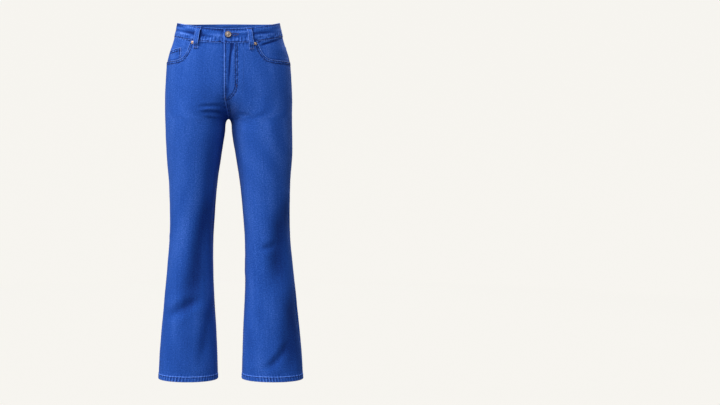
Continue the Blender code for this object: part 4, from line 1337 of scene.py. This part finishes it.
class Sewing:
    """Collects stitches, each a short rounded thread half sunk in the cloth."""

    rings = np.array([0.0, 0.16, 0.5, 0.84, 1.0])
    lift = np.array([-0.55, 0.12, 0.34, 0.12, -0.55])
    width = np.array([0.55, 0.95, 1.0, 0.95, 0.55])
    sides = 6

    def __init__(self, seed, settings):
        self.points, self.faces, self.count = [], [], 0
        self.pick = np.random.RandomState(seed)
        self.stitch, self.thread = settings.stitch_length / MM, settings.thread / MM

    def add(self, starts, ends, away, thickness):
        """Stitches from starts to ends, with the direction out of the cloth."""
        along = ends - starts
        along = along / np.maximum(np.linalg.norm(along, axis=1, keepdims=True), 1e-9)
        beside = np.cross(along, away)
        beside /= np.maximum(np.linalg.norm(beside, axis=1, keepdims=True), 1e-9)
        upward = np.cross(beside, along)
        number = len(starts)
        middle = starts[:, None, :] + (ends - starts)[:, None, :] * self.rings[None, :, None]
        middle = middle + upward[:, None, :] * (self.lift * thickness)[None, :, None]
        turn = np.arange(self.sides) * math.tau / self.sides
        ring = (
            beside[:, None, None, :] * np.cos(turn)[None, None, :, None]
            + upward[:, None, None, :] * np.sin(turn)[None, None, :, None]
        )
        radius = (self.width * thickness / 2)[None, :, None, None]
        jitter = 1 + UNSTEADY * self.pick.uniform(-1, 1, (number, 1, 1, 1))
        points = middle[:, :, None, :] + ring * radius * jitter
        each = len(self.rings) * self.sides
        base = self.count + np.arange(number)[:, None, None] * each
        tube = tube_faces(len(self.rings), self.sides)
        for faces in (tube[:-2], tube[-2:]):
            faces = np.array(faces)[None] + base
            self.faces += faces.reshape(-1, faces.shape[-1]).tolist()
        self.points.append(points.reshape(-1, 3))
        self.count += number * each

    def row(self, place, a, b):
        """A row of stitches along the line of the values a and b, which place turns into points."""
        fine = np.linspace(0.0, 1.0, 400)
        known = np.linspace(0.0, 1.0, len(b))
        a = np.broadcast_to(a, np.shape(b))
        at_a, at_b = np.interp(fine, known, a), np.interp(fine, known, b)
        points, _ = place(at_a, at_b)
        steps = np.linalg.norm(np.diff(points, axis=0), axis=1)
        way = np.concatenate([[0.0], np.cumsum(steps)])
        count = max(int(way[-1] / self.stitch), 1)
        pitch = way[-1] / count
        begin = np.arange(count) * pitch + STITCH_GAP / 2
        begin += self.pick.uniform(-UNSTEADY, UNSTEADY, count)
        spots = [np.interp(at, way, fine) for at in (begin, begin + pitch - STITCH_GAP)]
        ends = [place(np.interp(s, fine, at_a), np.interp(s, fine, at_b)) for s in spots]
        self.add(ends[0][0], ends[1][0], (ends[0][1] + ends[1][1]) / 2, self.thread)

    def bar(self, place, a, b, length, turn=math.pi / 2, width=1.9):
        """A bartack: close stitches side by side, across a short bar at (a, b)."""
        count = max(int(length / (TACK_THREAD * 0.85)), 4)
        along = (np.arange(count) / (count - 1) - 0.5) * length
        slant = self.pick.uniform(-0.1, 0.1, count)
        side_a, side_b = -math.sin(turn), math.cos(turn)
        low_a = a + along * math.cos(turn) - side_a * width / 2 + slant
        low_b = b + along * math.sin(turn) - side_b * width / 2
        high_a = a + along * math.cos(turn) + side_a * width / 2 - slant
        high_b = b + along * math.sin(turn) + side_b * width / 2
        starts, away = place(low_a, low_b)
        ends, _ = place(high_a, high_b)
        self.add(starts, ends, away, TACK_THREAD)

    def made(self, name, material):
        """The collected stitches as one piece."""
        points = np.concatenate(self.points) * MM
        return solid(name, points, self.faces, material, [])


def on_piece(side, face, relief):
    """A function that places (arc, height) on the face of a panel with that relief."""

    def place(arc, height):
        arc, height = np.asarray(arc, float), np.asarray(height, float)
        return cloth(side, face, arc, height, relief(side, arc, height).out)[:2]

    return place


def on_back_pocket(side):
    """A function that places (x, height) on a back pocket."""

    def place(x, height):
        x, height = np.asarray(x, float), np.asarray(height, float)
        arc, layer = back_pocket_place(side, x, height)
        return cloth(side, BACK, arc, height, layer.out)[:2]

    return place


def on_coin(x, height):
    """Points of the coin pocket's face, and the directions outwards."""
    x, height = np.asarray(x, float), np.asarray(height, float)
    arc, layer = coin_place(x, height, above=0.3)
    return cloth(RIGHT, FRONT, arc, height, layer.out)[:2]


def beside_line(line, distance):
    """A line moved to its side by some mm, in its own two coordinates."""
    line = np.asarray(line, float)
    along = np.gradient(line, axis=0)
    along /= np.maximum(np.linalg.norm(along, axis=1, keepdims=True), 1e-9)
    return line + np.stack([along[:, 1], -along[:, 0]], axis=1) * distance


def sew_front(stitch, tack):
    """The fly, the pocket mouths, the coin pocket and their bartacks."""
    place = {side: on_piece(side, FRONT, front_layer) for side in SIDES}
    left = place[LEFT]
    for inset in (0.0, ROWS_APART):
        stitch.row(left, *fly_curve(inset).T)
    height = np.linspace(seam_at(FRONT, FLY_SEAM_X), CROTCH + 14.0, 60)
    stitch.row(left, lap_line(height) + FLY_ROW, height)
    height = np.linspace(FLY_BOTTOM, CROTCH + 6.0, 20)
    stitch.row(left, lap_line(height) + FLY_ROW + ROWS_APART, height)
    tack.bar(left, lap_line(np.array(FLY_TACK)) + 3.0, FLY_TACK, 9.0)
    tack.bar(left, FLY_EDGE + FLY_WIDTH - 2.5, FLY_CURVE_START - 6.0, 9.0)
    for side in SIDES:
        line = mouth_line(side)
        for inset in (FIRST_ROW, SECOND_ROW):
            moved = beside_line(line, inset)
            moved = moved[moved[:, 1] < seam_at(FRONT, MOUTHS[side][0]) - 1.0]
            stitch.row(place[side], *moved.T)
        tack.bar(place[side], *beside_line(line, 5.0)[-3], 8.0)
    x = np.linspace(COIN_START + 1.5, coin_side() - 3.0, 20)
    for inset in (FIRST_ROW, SECOND_ROW):
        stitch.row(on_coin, x, coin_top(x) - inset)
    height = np.linspace(COIN_TOP - 1.5, COIN_TOP - 34.0, 12)
    inner_x = COIN_START + 2.0 + COIN_SLANT * (COIN_TOP - height) / COIN_TALL
    stitch.row(on_coin, inner_x, height)
    tack.bar(on_coin, COIN_START + 3.0, COIN_TOP - 4.5, 7.0)


def sew_back(stitch, tack):
    """The yoke seams, the seat seam and the back pockets."""
    share = np.linspace(0.01, 0.99, 60)
    rows = (FIRST_ROW, SECOND_ROW)
    for side in SIDES:
        yoke, panel = on_piece(side, BACK, yoke_layer), on_piece(side, BACK, back_layer)
        for inset in rows:
            height = yoke_line(share) + inset
            stitch.row(yoke, share * length_round(side, BACK, height), height)
        pocket, outline = on_back_pocket(side), pocket_outline()
        middle = outline.mean(axis=0)
        for inset in (2.0, 8.0):
            corners = middle + (outline - middle) * (1 - inset / 50.0)
            for start, end in zip(corners[:-1], corners[1:]):
                stitch.row(pocket, *np.linspace(start, end, 12).T)
        x = np.linspace(POCKET_INNER[0] + 4, POCKET_OUTER[0] - 3, 30)
        for below in (POCKET_HEM - 1.2, 2.0):
            stitch.row(pocket, x, np.full(30, POCKET_TOP - below))
        for edge in (POCKET_INNER[0] + 5, POCKET_OUTER[0] - 4):
            tack.bar(pocket, edge, POCKET_TOP - 5.5, 9.0)
        if side == LEFT:
            for inset in rows:
                stitch.row(panel, inset, np.linspace(YOKE_AT_CENTRE - 1, CROTCH + 12, 60))
            height = np.linspace(seam_at(BACK, 0.0) - 1, YOKE_AT_CENTRE + 1, 14)
            for inset in rows:
                stitch.row(yoke, inset, height)
            tack.bar(yoke, 4.5, YOKE_AT_CENTRE + 4.0, 14.0, width=2.2)


def sew_legs(stitch):
    """The hems, the inseams and the top of the outseams."""
    for side in SIDES:
        for face, relief in ((FRONT, front_layer), (BACK, back_layer)):
            height = np.full(60, HEM + HEM_DEPTH - FIRST_ROW)
            arc = np.linspace(0.02, 0.98, 60) * length_round(side, face, height)
            stitch.row(on_piece(side, face, relief), arc, height)
        height = np.linspace(CROTCH - 6, HEM + HEM_DEPTH, 200)
        stitch.row(on_piece(side, FRONT, front_layer), FIRST_ROW, height)
        height = np.linspace(YOKE_AT_SIDE - 6, OUTSEAM_ROW_END, 60)
        arc = length_round(side, BACK, height) - 3.0
        stitch.row(on_piece(side, BACK, back_layer), arc, height)


def sew_waist(stitch, tack, hole):
    """The waistband's edges, the belt loops and the buttonhole."""
    whole = band_spots(np.zeros(1))[3]
    travel = np.linspace(FLY_EDGE + 3, whole - 14, 900)
    for level, made in ((FIRST_ROW, tack), (BAND_HEIGHT - FIRST_ROW, stitch)):
        for part in np.array_split(travel, 6):
            made.row(band_place, part, np.full(len(part), level / BAND_HEIGHT))
    part = np.linspace(2.4, BAND_HEIGHT - 2.6, 8) / BAND_HEIGHT
    stitch.row(band_place, FLY_EDGE + FLY_ROW, part)
    for loop in LOOPS:
        top, bottom, _ = loop_ends(*loop[1:5])

        def place(across, height, loop=loop):
            return loop_place(loop, np.asarray(across, float), np.asarray(height, float))

        for across in (-LOOP_ROW, LOOP_ROW):
            stitch.row(place, across, np.linspace(top - 2, bottom + 2, 24))
        for level in (top - 3.0, bottom + 3.0):
            tack.bar(place, 0.0, level, LOOP_WIDTH - 2.5, turn=0.0, width=2.2)
    turn = np.linspace(0.0, math.tau, HOLE_STITCHES, endpoint=False)
    for grow in (0.35, 1.25):
        (low, away), (high, _) = (
            band_place(
                BUTTON_X + HOLE_FROM_BUTTON + (HOLE_REACH + out) * np.cos(turn),
                band_button_part() + (HOLE_HIGH + out) * np.sin(turn) / BAND_HEIGHT,
            )
            for out in (grow, grow + HOLE_EDGE)
        )
        hole.add(low, high, away, HOLE_THREAD)


# Metal


def turned(name, profile, foot, away, material, node, sides=48, relief=None):
    """A piece turned about the axis from foot in the direction away."""
    axis = away / np.linalg.norm(away)
    right = np.cross(axis, (0.0, 0.0, 1.0))
    right /= np.linalg.norm(right)
    up = np.cross(right, axis)
    turn = np.arange(sides) * math.tau / sides
    spokes = np.cos(turn)[:, None] * right + np.sin(turn)[:, None] * up
    points = []
    for radius, height in profile:
        lift = np.broadcast_to(height + (relief(radius, turn) if relief else 0.0), turn.shape)
        points.append(foot + axis * lift[:, None] + spokes * radius)
    points = np.concatenate(points) * MM
    return solid(name, points, tube_faces(len(profile), sides), material, [node])


def button_relief(radius, turn):
    """A fine ring of beads round the button's face."""
    bead = np.maximum(np.cos(turn * BEADS), 0.0)
    return BEAD_HEIGHT * bead * peak(radius, BEAD_RING, 0.5)


def round_profile(steps):
    """The profile through the given (radius, height) points, with more points between."""
    steps = np.array(steps, float)
    way = np.arange(len(steps))
    fine = np.linspace(0, len(steps) - 1, 4 * len(steps))
    return np.stack([np.interp(fine, way, steps[:, 0]), np.interp(fine, way, steps[:, 1])], 1)


BUTTON_STEPS = (
    (3.4, -0.6), (3.4, 1.6), (8.3, 1.9), (8.9, 2.3), (9.05, 2.8), (8.9, 3.3),
    (8.4, 3.75), (7.7, 3.9), (7.1, 3.75), (6.8, 3.4), (6.2, 3.35), (5.4, 3.35),
    (4.9, 3.5), (4.5, 3.4), (3.6, 3.45), (2.4, 3.75), (1.2, 3.9), (0.2, 3.95),
)
RIVET_STEPS = (
    (4.5, -0.5), (4.7, 0.1), (4.6, 0.55), (4.2, 0.95), (3.6, 1.2), (3.0, 1.2),
    (2.5, 1.25), (2.1, 1.7), (1.7, 2.05), (1.1, 2.25), (0.4, 2.3),
)


def make_button(material):
    """The button on the waistband's lap: a shank, a rolled rim and a domed face."""
    foot, away = band_place(np.array([BUTTON_X]), np.array([band_button_part()]))
    return turned(
        "metal_button",
        round_profile(BUTTON_STEPS),
        foot[0],
        away[0],
        material,
        "waist_button",
        BUTTON_SIDES,
        button_relief,
    )


def make_rivet(side, material):
    """A rivet at the start of a pocket's mouth."""
    start = MOUTHS[side][0]
    height = seam_at(FRONT, start) - RIVET_BELOW_SEAM
    arc = arc_of_x(side, FRONT, start - RIVET_FROM_MOUTH, height)
    foot, away = on_piece(side, FRONT, front_layer)(np.array([arc]), np.array([height]))
    return turned(
        f"metal_rivet_{SIDE_NAMES[side]}",
        round_profile(RIVET_STEPS),
        foot[0],
        away[0],
        material,
        f"rivet_{SIDE_NAMES[side]}",
    )


# Materials


# Where the material draws a seam, in mm from its line: its worn edge, its rows and their puckers
EDGE_MIDDLE, EDGE_WIDTH, ROW_WIDTH, PUCKER_WIDTH = 0.6, 2.1, 1.7, 5.5
PUCKER_NOISE = (95.0, 250.0)

# The denim's noises: its scale or its scales across and along, its detail and its roughness
DENIM_NOISES = (
    ((900.0, 55.0), 3.0, 0.6),
    ((120.0, 1100.0), 2.0, 0.6),
    ((16.0, 7.0), 3.0, 0.55),
    ((130.0, 5.0), 2.0, 0.5),
    (270.0, 4.0, 0.85),
)
RIDGES = 0.444


class Nodes:
    """Short ways to build a material from nodes."""

    def __init__(self, name):
        self.material = bpy.data.materials.new(name)
        self.material.use_nodes = True
        self.tree = self.material.node_tree
        self.shader = self.tree.nodes["Principled BSDF"]

    def add(self, kind, inputs=(), **settings):
        """A node with its settings and its unlinked inputs."""
        node = self.tree.nodes.new(kind)
        for key, value in settings.items():
            setattr(node, key, value)
        for key, value in dict(inputs).items():
            node.inputs[key].default_value = value
        return node

    def link(self, source, target):
        """Joins an output to an input."""
        self.tree.links.new(source, target)

    def worked(self, operation, first, second):
        """A math node on two outputs, or on an output and a number."""
        node = self.add("ShaderNodeMath", operation=operation)
        self.link(first, node.inputs[0])
        if isinstance(second, (int, float)):
            node.inputs[1].default_value = second
        else:
            self.link(second, node.inputs[1])
        return node.outputs[0]

    def sum(self, first, *others):
        """The sum of outputs, or of an output and a number."""
        for other in others:
            first = self.worked("ADD", first, other)
        return first

    def less(self, first, second):
        """An output less another one or a number."""
        return self.worked("SUBTRACT", first, second)

    def times(self, first, second):
        """An output times another one or a number."""
        return self.worked("MULTIPLY", first, second)

    def noise(self, coordinates, scale, detail=2.0, roughness=0.5):
        """A noise texture's value. A scale of two numbers stretches it across and along."""
        if not isinstance(scale, float):
            node = self.add("ShaderNodeMapping", {"Scale": (*scale, 1.0)})
            self.link(coordinates, node.inputs["Vector"])
            coordinates, scale = node.outputs[0], 1.0
        inputs = {"Scale": scale, "Detail": detail, "Roughness": roughness}
        node = self.add("ShaderNodeTexNoise", inputs)
        self.link(coordinates, node.inputs["Vector"])
        return node.outputs[0]

    def ranged(self, value, limits, **settings):
        """An output brought from one range to another."""
        node = self.add("ShaderNodeMapRange", limits, **settings)
        self.link(value, node.inputs["Value"])
        return node.outputs[0]

    def hump(self, value, centre, width):
        """1 where the value is at the centre, falling to 0 at the width to each side."""
        away = self.add("ShaderNodeMath", operation="ABSOLUTE")
        self.link(self.less(value, centre), away.inputs[0])
        fall = {"From Min": 0.0, "From Max": width, "To Min": 1.0, "To Max": 0.0}
        return self.ranged(away.outputs[0], fall, interpolation_type="SMOOTHSTEP")

    def parts(self, vector):
        """The three numbers of a vector."""
        node = self.add("ShaderNodeSeparateXYZ")
        self.link(vector, node.inputs[0])
        return node.outputs

    def centred(self, value, strength):
        """A 0 to 1 value as one from minus to plus half the strength."""
        return self.times(self.less(value, 0.5), strength)

    def between(self, factor, low, high):
        """A colour between two colours or outputs."""
        node = self.add("ShaderNodeMix", data_type="RGBA")
        self.link(factor, node.inputs[0])
        for number, colour in ((6, low), (7, high)):
            if isinstance(colour, bpy.types.NodeSocket):
                self.link(colour, node.inputs[number])
            else:
                node.inputs[number].default_value = (*colour[:3], 1.0)
        return node.outputs[2]

    def bump(self, height, strength, distance, under=None):
        """The relief of a height, on top of another relief."""
        node = self.add("ShaderNodeBump", {"Strength": strength, "Distance": distance})
        self.link(height, node.inputs["Height"])
        if under:
            self.link(under, node.inputs["Normal"])
        return node.outputs[0]

    def finished(self, linked, constant):
        """The material, with the shader's linked inputs and its constant ones."""
        for name, source in linked.items():
            self.link(source, self.shader.inputs[name])
        for name, value in constant.items():
            self.shader.inputs[name].default_value = value
        return self.material


def seam_details(n):
    """The wear and the height of the nearest seam: its edge, its rows and their puckers."""
    place = n.add("ShaderNodeUVMap", uv_map="seam").outputs[0]
    distance = n.times(n.parts(place)[0], 1 / MM)
    sewn = n.add("ShaderNodeAttribute", attribute_name="sewn").outputs["Vector"]
    edge, first, second = n.parts(sewn)
    edge = n.times(edge, n.hump(distance, EDGE_MIDDLE, EDGE_WIDTH))

    def beside_rows(width):
        at = ((first, FIRST_ROW), (second, SECOND_ROW))
        return [n.times(weight, n.hump(distance, row, width)) for weight, row in at]

    rows = n.sum(*beside_rows(ROW_WIDTH))
    uneven = n.noise(place, PUCKER_NOISE, 2.0, 0.6)
    pucker = n.times(n.centred(uneven, 2.6), n.worked("MAXIMUM", *beside_rows(PUCKER_WIDTH)))
    broken = n.sum(n.times(uneven, 1.1), 0.35)
    wear = n.less(n.times(n.times(edge, broken), 1.1), n.times(rows, 0.95))
    wear = n.sum(wear, n.times(pucker, 1.5))
    return wear, n.sum(n.less(edge, rows), n.times(pucker, 1.9))


def denim_material(settings):
    """Right-hand twill with dyed warp, worn light on its high places, and darker or lighter where
    its tone holds painted shade or painted light.
    """
    n = Nodes("blue_denim")
    seam_wear, seam_height_out = seam_details(n)
    flat = n.add("ShaderNodeUVMap", uv_map="weave").outputs[0]
    tone = n.add("ShaderNodeAttribute", attribute_name="tone").outputs["Fac"]
    inside = n.add("ShaderNodeAttribute", attribute_name="inside").outputs["Fac"]
    ridges = {"Scale": RIDGES / settings.wale, "Distortion": 0.6, "Detail": 1.0}
    twill = n.add("ShaderNodeTexWave", ridges, bands_direction="DIAGONAL")
    n.link(flat, twill.inputs["Vector"])
    twill = twill.outputs[1]
    warp, weft, cloud, streak, speck = (n.noise(flat, *noise) for noise in DENIM_NOISES)
    uneven = (speck, settings.mottle), (warp, 0.55), (weft, 0.3), (cloud, 0.5), (streak, 0.35)
    uneven = [n.centred(*part) for part in (*uneven, (twill, 0.3))]
    light = n.sum(tone, seam_wear, *uneven)
    ramp = n.add("ShaderNodeValToRGB")
    spread = {"From Min": -1.1, "From Max": 1.1, "To Min": 0.0, "To Max": 1.0}
    n.link(n.ranged(light, spread), ramp.inputs[0])
    dark, pale = ramp.color_ramp.elements
    dark.position, pale.position = 0.0, 1.0
    dark.color, pale.color = (*settings.dark, 1.0), (*settings.light, 1.0)
    ramp.color_ramp.elements.new(0.5).color = (*settings.middle, 1.0)
    within = n.between(n.times(warp, 0.6), settings.inside_dark, settings.inside_light)
    high = n.sum(n.times(twill, 0.6), n.times(warp, 0.7), n.times(speck, 0.8))
    sewn_in = n.bump(seam_height_out, 0.9, 0.0006)
    return n.finished(
        {
            "Base Color": n.between(inside, ramp.outputs[0], within),
            "Roughness": n.ranged(speck, {"To Min": 0.95, "To Max": 0.78}),
            "Normal": n.bump(high, 0.75, 0.00022, sewn_in),
        },
        {
            "Specular IOR Level": 0.16,
            "Sheen Weight": 0.08,
            "Sheen Roughness": 0.5,
            "Sheen Tint": (0.35, 0.55, 1.0, 1.0),
        },
    )


def thread_material(name, colour):
    """Twisted sewing thread, with a slight shine."""
    n = Nodes(name)
    place = n.add("ShaderNodeTexCoord").outputs["Object"]
    fibre = n.noise(place, 2600.0, 3.0, 0.7)
    mixed = n.sum(n.times(fibre, 0.6), n.times(n.noise(place, 90.0), 0.5))
    pale = tuple(min(1.0, c * 1.75 + 0.01) for c in colour)
    deep = tuple(c * 0.5 for c in colour)
    return n.finished(
        {"Base Color": n.between(mixed, deep, pale), "Normal": n.bump(fibre, 0.5, 0.0001)},
        {"Roughness": 0.55, "Sheen Weight": 0.1, "Specular IOR Level": 0.35},
    )


def metal_material(name, colour, dull, roughness):
    """Aged cast metal: dull in its hollows and rubbed bright on its edges."""
    n = Nodes(name)
    place = n.add("ShaderNodeTexCoord").outputs["Object"]
    stain, grain = n.noise(place, 420.0, 4.0, 0.7), n.noise(place, 2500.0, 3.0, 0.6)
    edge = n.add("ShaderNodeNewGeometry").outputs["Pointiness"]
    rubbed = n.ranged(edge, {"From Min": 0.46, "From Max": 0.56})
    both = n.sum(n.times(rubbed, 0.7), n.times(stain, 0.6))
    rough = {"To Min": roughness - 0.1, "To Max": roughness + 0.2}
    return n.finished(
        {
            "Base Color": n.between(both, dull, colour),
            "Roughness": n.ranged(stain, rough),
            "Normal": n.bump(grain, 0.35, 0.00012),
        },
        {"Metallic": 1.0},
    )


MADE = {}


def material_of(kind):
    """A material of the jeans, made once from the settings."""
    scene = bpy.context.scene
    if kind not in MADE:
        sewing, metal = scene.jeans_sewing, scene.jeans_metal
        makers = {
            "denim": (denim_material, scene.jeans_denim),
            "thread": (thread_material, "tonal_thread", tuple(sewing.thread_colour)),
            "tack": (thread_material, "dark_thread", tuple(sewing.tack_colour)),
            "button": (metal_material, "aged_nickel", metal.button, metal.button_dull, 0.46),
            "rivet": (metal_material, "pale_copper", metal.rivet, metal.rivet_dull, 0.5),
        }
        maker, *values = makers[kind]
        MADE[kind] = maker(*values)
    return MADE[kind]


# Settings


def setting(name, description, default, **more):
    """A number that can be changed in the panel."""
    return bpy.props.FloatProperty(name=name, description=description, default=default, **more)


def power_setting(name, description, default):
    """The power of a light, or its strength."""
    return setting(name, description, default, min=0.0)


def length_setting(name, description, default):
    """A length, in metres."""
    return setting(name, description, default, unit="LENGTH")


def colour_setting(name, description, default):
    """A colour that can be changed in the panel."""
    return bpy.props.FloatVectorProperty(
        name=name, description=description, default=default, subtype="COLOR", min=0.0, max=1.0
    )


class JeansDenim(bpy.types.PropertyGroup):
    """The cloth."""

    # The dark end also draws painted shade in creases and under edges, and the worn end painted
    # light
    dark: colour_setting("Dark blue", "Blue in the hollows", (0.003, 0.024, 0.170))
    middle: colour_setting("Blue", "Main blue of the denim", (0.017, 0.092, 0.455))
    light: colour_setting("Worn blue", "Blue where the cloth has worn", (0.110, 0.250, 0.810))
    inside_dark: colour_setting("Inside, dark", "Dark threads inside", (0.012, 0.070, 0.340))
    inside_light: colour_setting("Inside, light", "Light threads inside", (0.070, 0.190, 0.620))
    wale: length_setting("Wale", "Distance between the twill's slanting ridges", 0.0009)
    mottle: setting("Mottle", "How speckled the blue is", 3.0, min=0.0, max=5.0)


class JeansSewing(bpy.types.PropertyGroup):
    """The sewing."""

    thread_colour: colour_setting("Thread", "Main sewing thread", (0.022, 0.050, 0.230))
    tack_colour: colour_setting("Bartacks", "Their thread", (0.036, 0.026, 0.085))
    stitch_length: length_setting("Stitch", "Length of one stitch", 0.0033)
    thread: length_setting("Thread", "Thickness of the thread", 0.00062)


class JeansMetal(bpy.types.PropertyGroup):
    """The button and the rivets."""

    button: colour_setting("Button", "Rubbed metal of the button", (0.300, 0.245, 0.220))
    button_dull: colour_setting("Button, dull", "Metal in its hollows", (0.120, 0.095, 0.085))
    rivet: colour_setting("Rivets", "Rubbed metal of the rivets", (0.600, 0.450, 0.370))
    rivet_dull: colour_setting("Rivets, dull", "Metal in their hollows", (0.280, 0.180, 0.140))


class JeansStage(bpy.types.PropertyGroup):
    """The studio."""

    paper: colour_setting("Paper", "Floor and background", (0.922, 0.905, 0.863))
    key: power_setting("Key light", "Soft light from the left", 985.0)
    front: power_setting("Front light", "Soft light from the front", 800.0)
    back: power_setting("Back light", "Soft light behind, for the jeans' back", 1300.0)
    fill: power_setting("Fill light", "Soft light from the right", 3.0)
    surround: power_setting("Surround", "Even light from all round", 0.19)
    floor: length_setting("Floor", "Height of the floor", -1.35)


# Operators


class JeansLegs(bpy.types.Operator):
    """Makes the two fronts and the two backs."""

    bl_idname = "jeans.legs"
    bl_label = "Legs"

    def execute(self, context):
        for side in SIDES:
            make_front(side, material_of("denim"))
            make_back(side, material_of("denim"))
        return {"FINISHED"}


class JeansWaist(bpy.types.Operator):
    """Makes the waistband and the yokes."""

    bl_idname = "jeans.waist"
    bl_label = "Waistband and yokes"

    def execute(self, context):
        make_waistband(material_of("denim"))
        for side in SIDES:
            make_yoke(side, material_of("denim"))
        return {"FINISHED"}


class JeansPockets(bpy.types.Operator):
    """Makes the pocket facings, the coin pocket and the back pockets."""

    bl_idname = "jeans.pockets"
    bl_label = "Pockets"

    def execute(self, context):
        for side in SIDES:
            make_facing(side, material_of("denim"))
            make_back_pocket(side, material_of("denim"))
        make_coin_pocket(material_of("denim"))
        return {"FINISHED"}


class JeansLoops(bpy.types.Operator):
    """Makes the five belt loops."""

    bl_idname = "jeans.loops"
    bl_label = "Belt loops"

    def execute(self, context):
        for loop in LOOPS:
            make_loop(loop, material_of("denim"))
        return {"FINISHED"}


class JeansSeams(bpy.types.Operator):
    """Sews the rows of stitches, the bartacks and the buttonhole."""

    bl_idname = "jeans.seams"
    bl_label = "Sewing"

    def execute(self, context):
        settings = context.scene.jeans_sewing
        front, back, legs, waist, tack, hole = (Sewing(seed, settings) for seed in SEWING_SEEDS)
        sew_front(front, tack)
        sew_back(back, tack)
        sew_legs(legs)
        sew_waist(waist, tack, hole)
        for name, sewing in (("front", front), ("back", back), ("legs", legs), ("waist", waist)):
            sewing.made(f"stitches_{name}", material_of("thread"))
        tack.made("bartacks", material_of("tack"))
        hole.made("buttonhole", material_of("tack"))
        return {"FINISHED"}


class JeansHardware(bpy.types.Operator):
    """Makes the button and the two rivets."""

    bl_idname = "jeans.hardware"
    bl_label = "Button and rivets"

    def execute(self, context):
        make_button(material_of("button"))
        for side in SIDES:
            make_rivet(side, material_of("rivet"))
        return {"FINISHED"}


def paper_material(colour):
    """Plain pale paper that glows of itself, so that it stays even."""
    constant = {
        "Base Color": (*[PAPER_BASE * c for c in colour], 1.0),
        "Roughness": 1.0,
        "Specular IOR Level": 0.0,
        "Emission Color": (*colour, 1.0),
        "Emission Strength": 1.0,
    }
    return Nodes("paper").finished({}, constant)


def aimed(thing, place, aim):
    """Puts a light or the camera in its place, turned towards its aim."""
    thing.location = place
    thing.rotation_mode = "QUATERNION"
    thing.rotation_quaternion = (Vector(aim) - Vector(place)).to_track_quat("-Z", "Y")
    bpy.context.scene.collection.objects.link(thing)
    return thing


def soft_light(name, place, size, power, colour):
    """A large square light."""
    data = bpy.data.lights.new(name, "AREA")
    data.shape, data.size, data.energy, data.color = "SQUARE", size, power, colour
    return aimed(bpy.data.objects.new(name, data), place, LIGHTS_AIM)


def paper_sweep(floor):
    """A round floor that bends up into a wall and a ceiling."""
    turn = np.arange(SWEEP_SIDES) * math.tau / SWEEP_SIDES
    bend = np.linspace(0.0, math.pi / 2, 12)
    rings = [(SWEEP_REACH * k / 4, floor) for k in range(1, 4)]
    middle = (SWEEP_REACH - SWEEP_BEND, floor + SWEEP_BEND)
    rings += [
        (middle[0] + SWEEP_BEND * math.sin(b), middle[1] - SWEEP_BEND * math.cos(b)) for b in bend
    ]
    rings += SWEEP_CEILING
    mesh = bpy.data.meshes.new("paper_sweep")
    points = [(r * math.cos(t), r * math.sin(t), z) for r, z in rings for t in turn]
    mesh.from_pydata(points, [], tube_faces(len(rings), SWEEP_SIDES))
    mesh.shade_smooth()
    return mesh


class JeansStudio(bpy.types.Operator):
    """Makes the floor and background, the lights and the camera."""

    bl_idname = "jeans.studio"
    bl_label = "Studio"

    def execute(self, context):
        scene, settings = context.scene, context.scene.jeans_stage
        scene.view_settings.view_transform = "Standard"
        mesh = paper_sweep(settings.floor)
        mesh.materials.append(paper_material(tuple(settings.paper)))
        sweep = bpy.data.objects.new("paper_sweep", mesh)
        scene.collection.objects.link(sweep)
        sweep.visible_diffuse = sweep.visible_glossy = sweep.visible_shadow = False
        scene.world = bpy.data.worlds.new("studio")
        scene.world.use_nodes = True
        surround = scene.world.node_tree.nodes["Background"]
        surround.inputs["Color"].default_value = (*SURROUND_COLOUR, 1.0)
        surround.inputs["Strength"].default_value = settings.surround
        for name, place, size, colour in LIGHTS:
            soft_light(name, place, size, getattr(settings, name), colour)
        data = bpy.data.cameras.new("camera")
        data.sensor_width, data.lens = 36.0, CAMERA_LENS
        data.shift_x, data.shift_y = CAMERA_SHIFT, 0.0
        data.clip_start, data.clip_end = 0.05, 60.0
        camera = bpy.data.objects.new("camera", data)
        scene.camera = aimed(camera, CAMERA_PLACE, CAMERA_AIM)
        return {"FINISHED"}


GROUPS = {
    "jeans_denim": JeansDenim,
    "jeans_sewing": JeansSewing,
    "jeans_metal": JeansMetal,
    "jeans_stage": JeansStage,
}
OPERATORS = (
    JeansLegs,
    JeansWaist,
    JeansPockets,
    JeansLoops,
    JeansSeams,
    JeansHardware,
    JeansStudio,
)


class JeansPanel(bpy.types.Panel):
    """The jeans' pieces and settings in the sidebar."""

    bl_idname = "VIEW3D_PT_jeans"
    bl_label = "Jeans"
    bl_space_type = "VIEW_3D"
    bl_region_type = "UI"
    bl_category = "Jeans"

    def draw(self, context):
        for group, kind in GROUPS.items():
            box = self.layout.box()
            for name in kind.__annotations__:
                box.prop(getattr(context.scene, group), name)
        for operator in OPERATORS:
            self.layout.operator(operator.bl_idname)


def register():
    """Adds the settings, the operators and the panel."""
    for name, kind in GROUPS.items():
        bpy.utils.register_class(kind)
        setattr(bpy.types.Scene, name, bpy.props.PointerProperty(type=kind))
    for kind in (*OPERATORS, JeansPanel):
        bpy.utils.register_class(kind)


def unregister():
    """Takes them away again."""
    for kind in reversed((*OPERATORS, JeansPanel)):
        bpy.utils.unregister_class(kind)
    for name, kind in reversed(GROUPS.items()):
        delattr(bpy.types.Scene, name)
        bpy.utils.unregister_class(kind)


def main():
    """Makes every piece in order."""
    register()
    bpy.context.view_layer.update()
    make_form()
    for operator in OPERATORS:
        group, name = operator.bl_idname.split(".")
        if getattr(getattr(bpy.ops, group), name)() != {"FINISHED"}:
            raise RuntimeError(f"{operator.bl_label} wasn't made")
    bpy.context.view_layer.update()


if __name__ == "__main__":
    main()
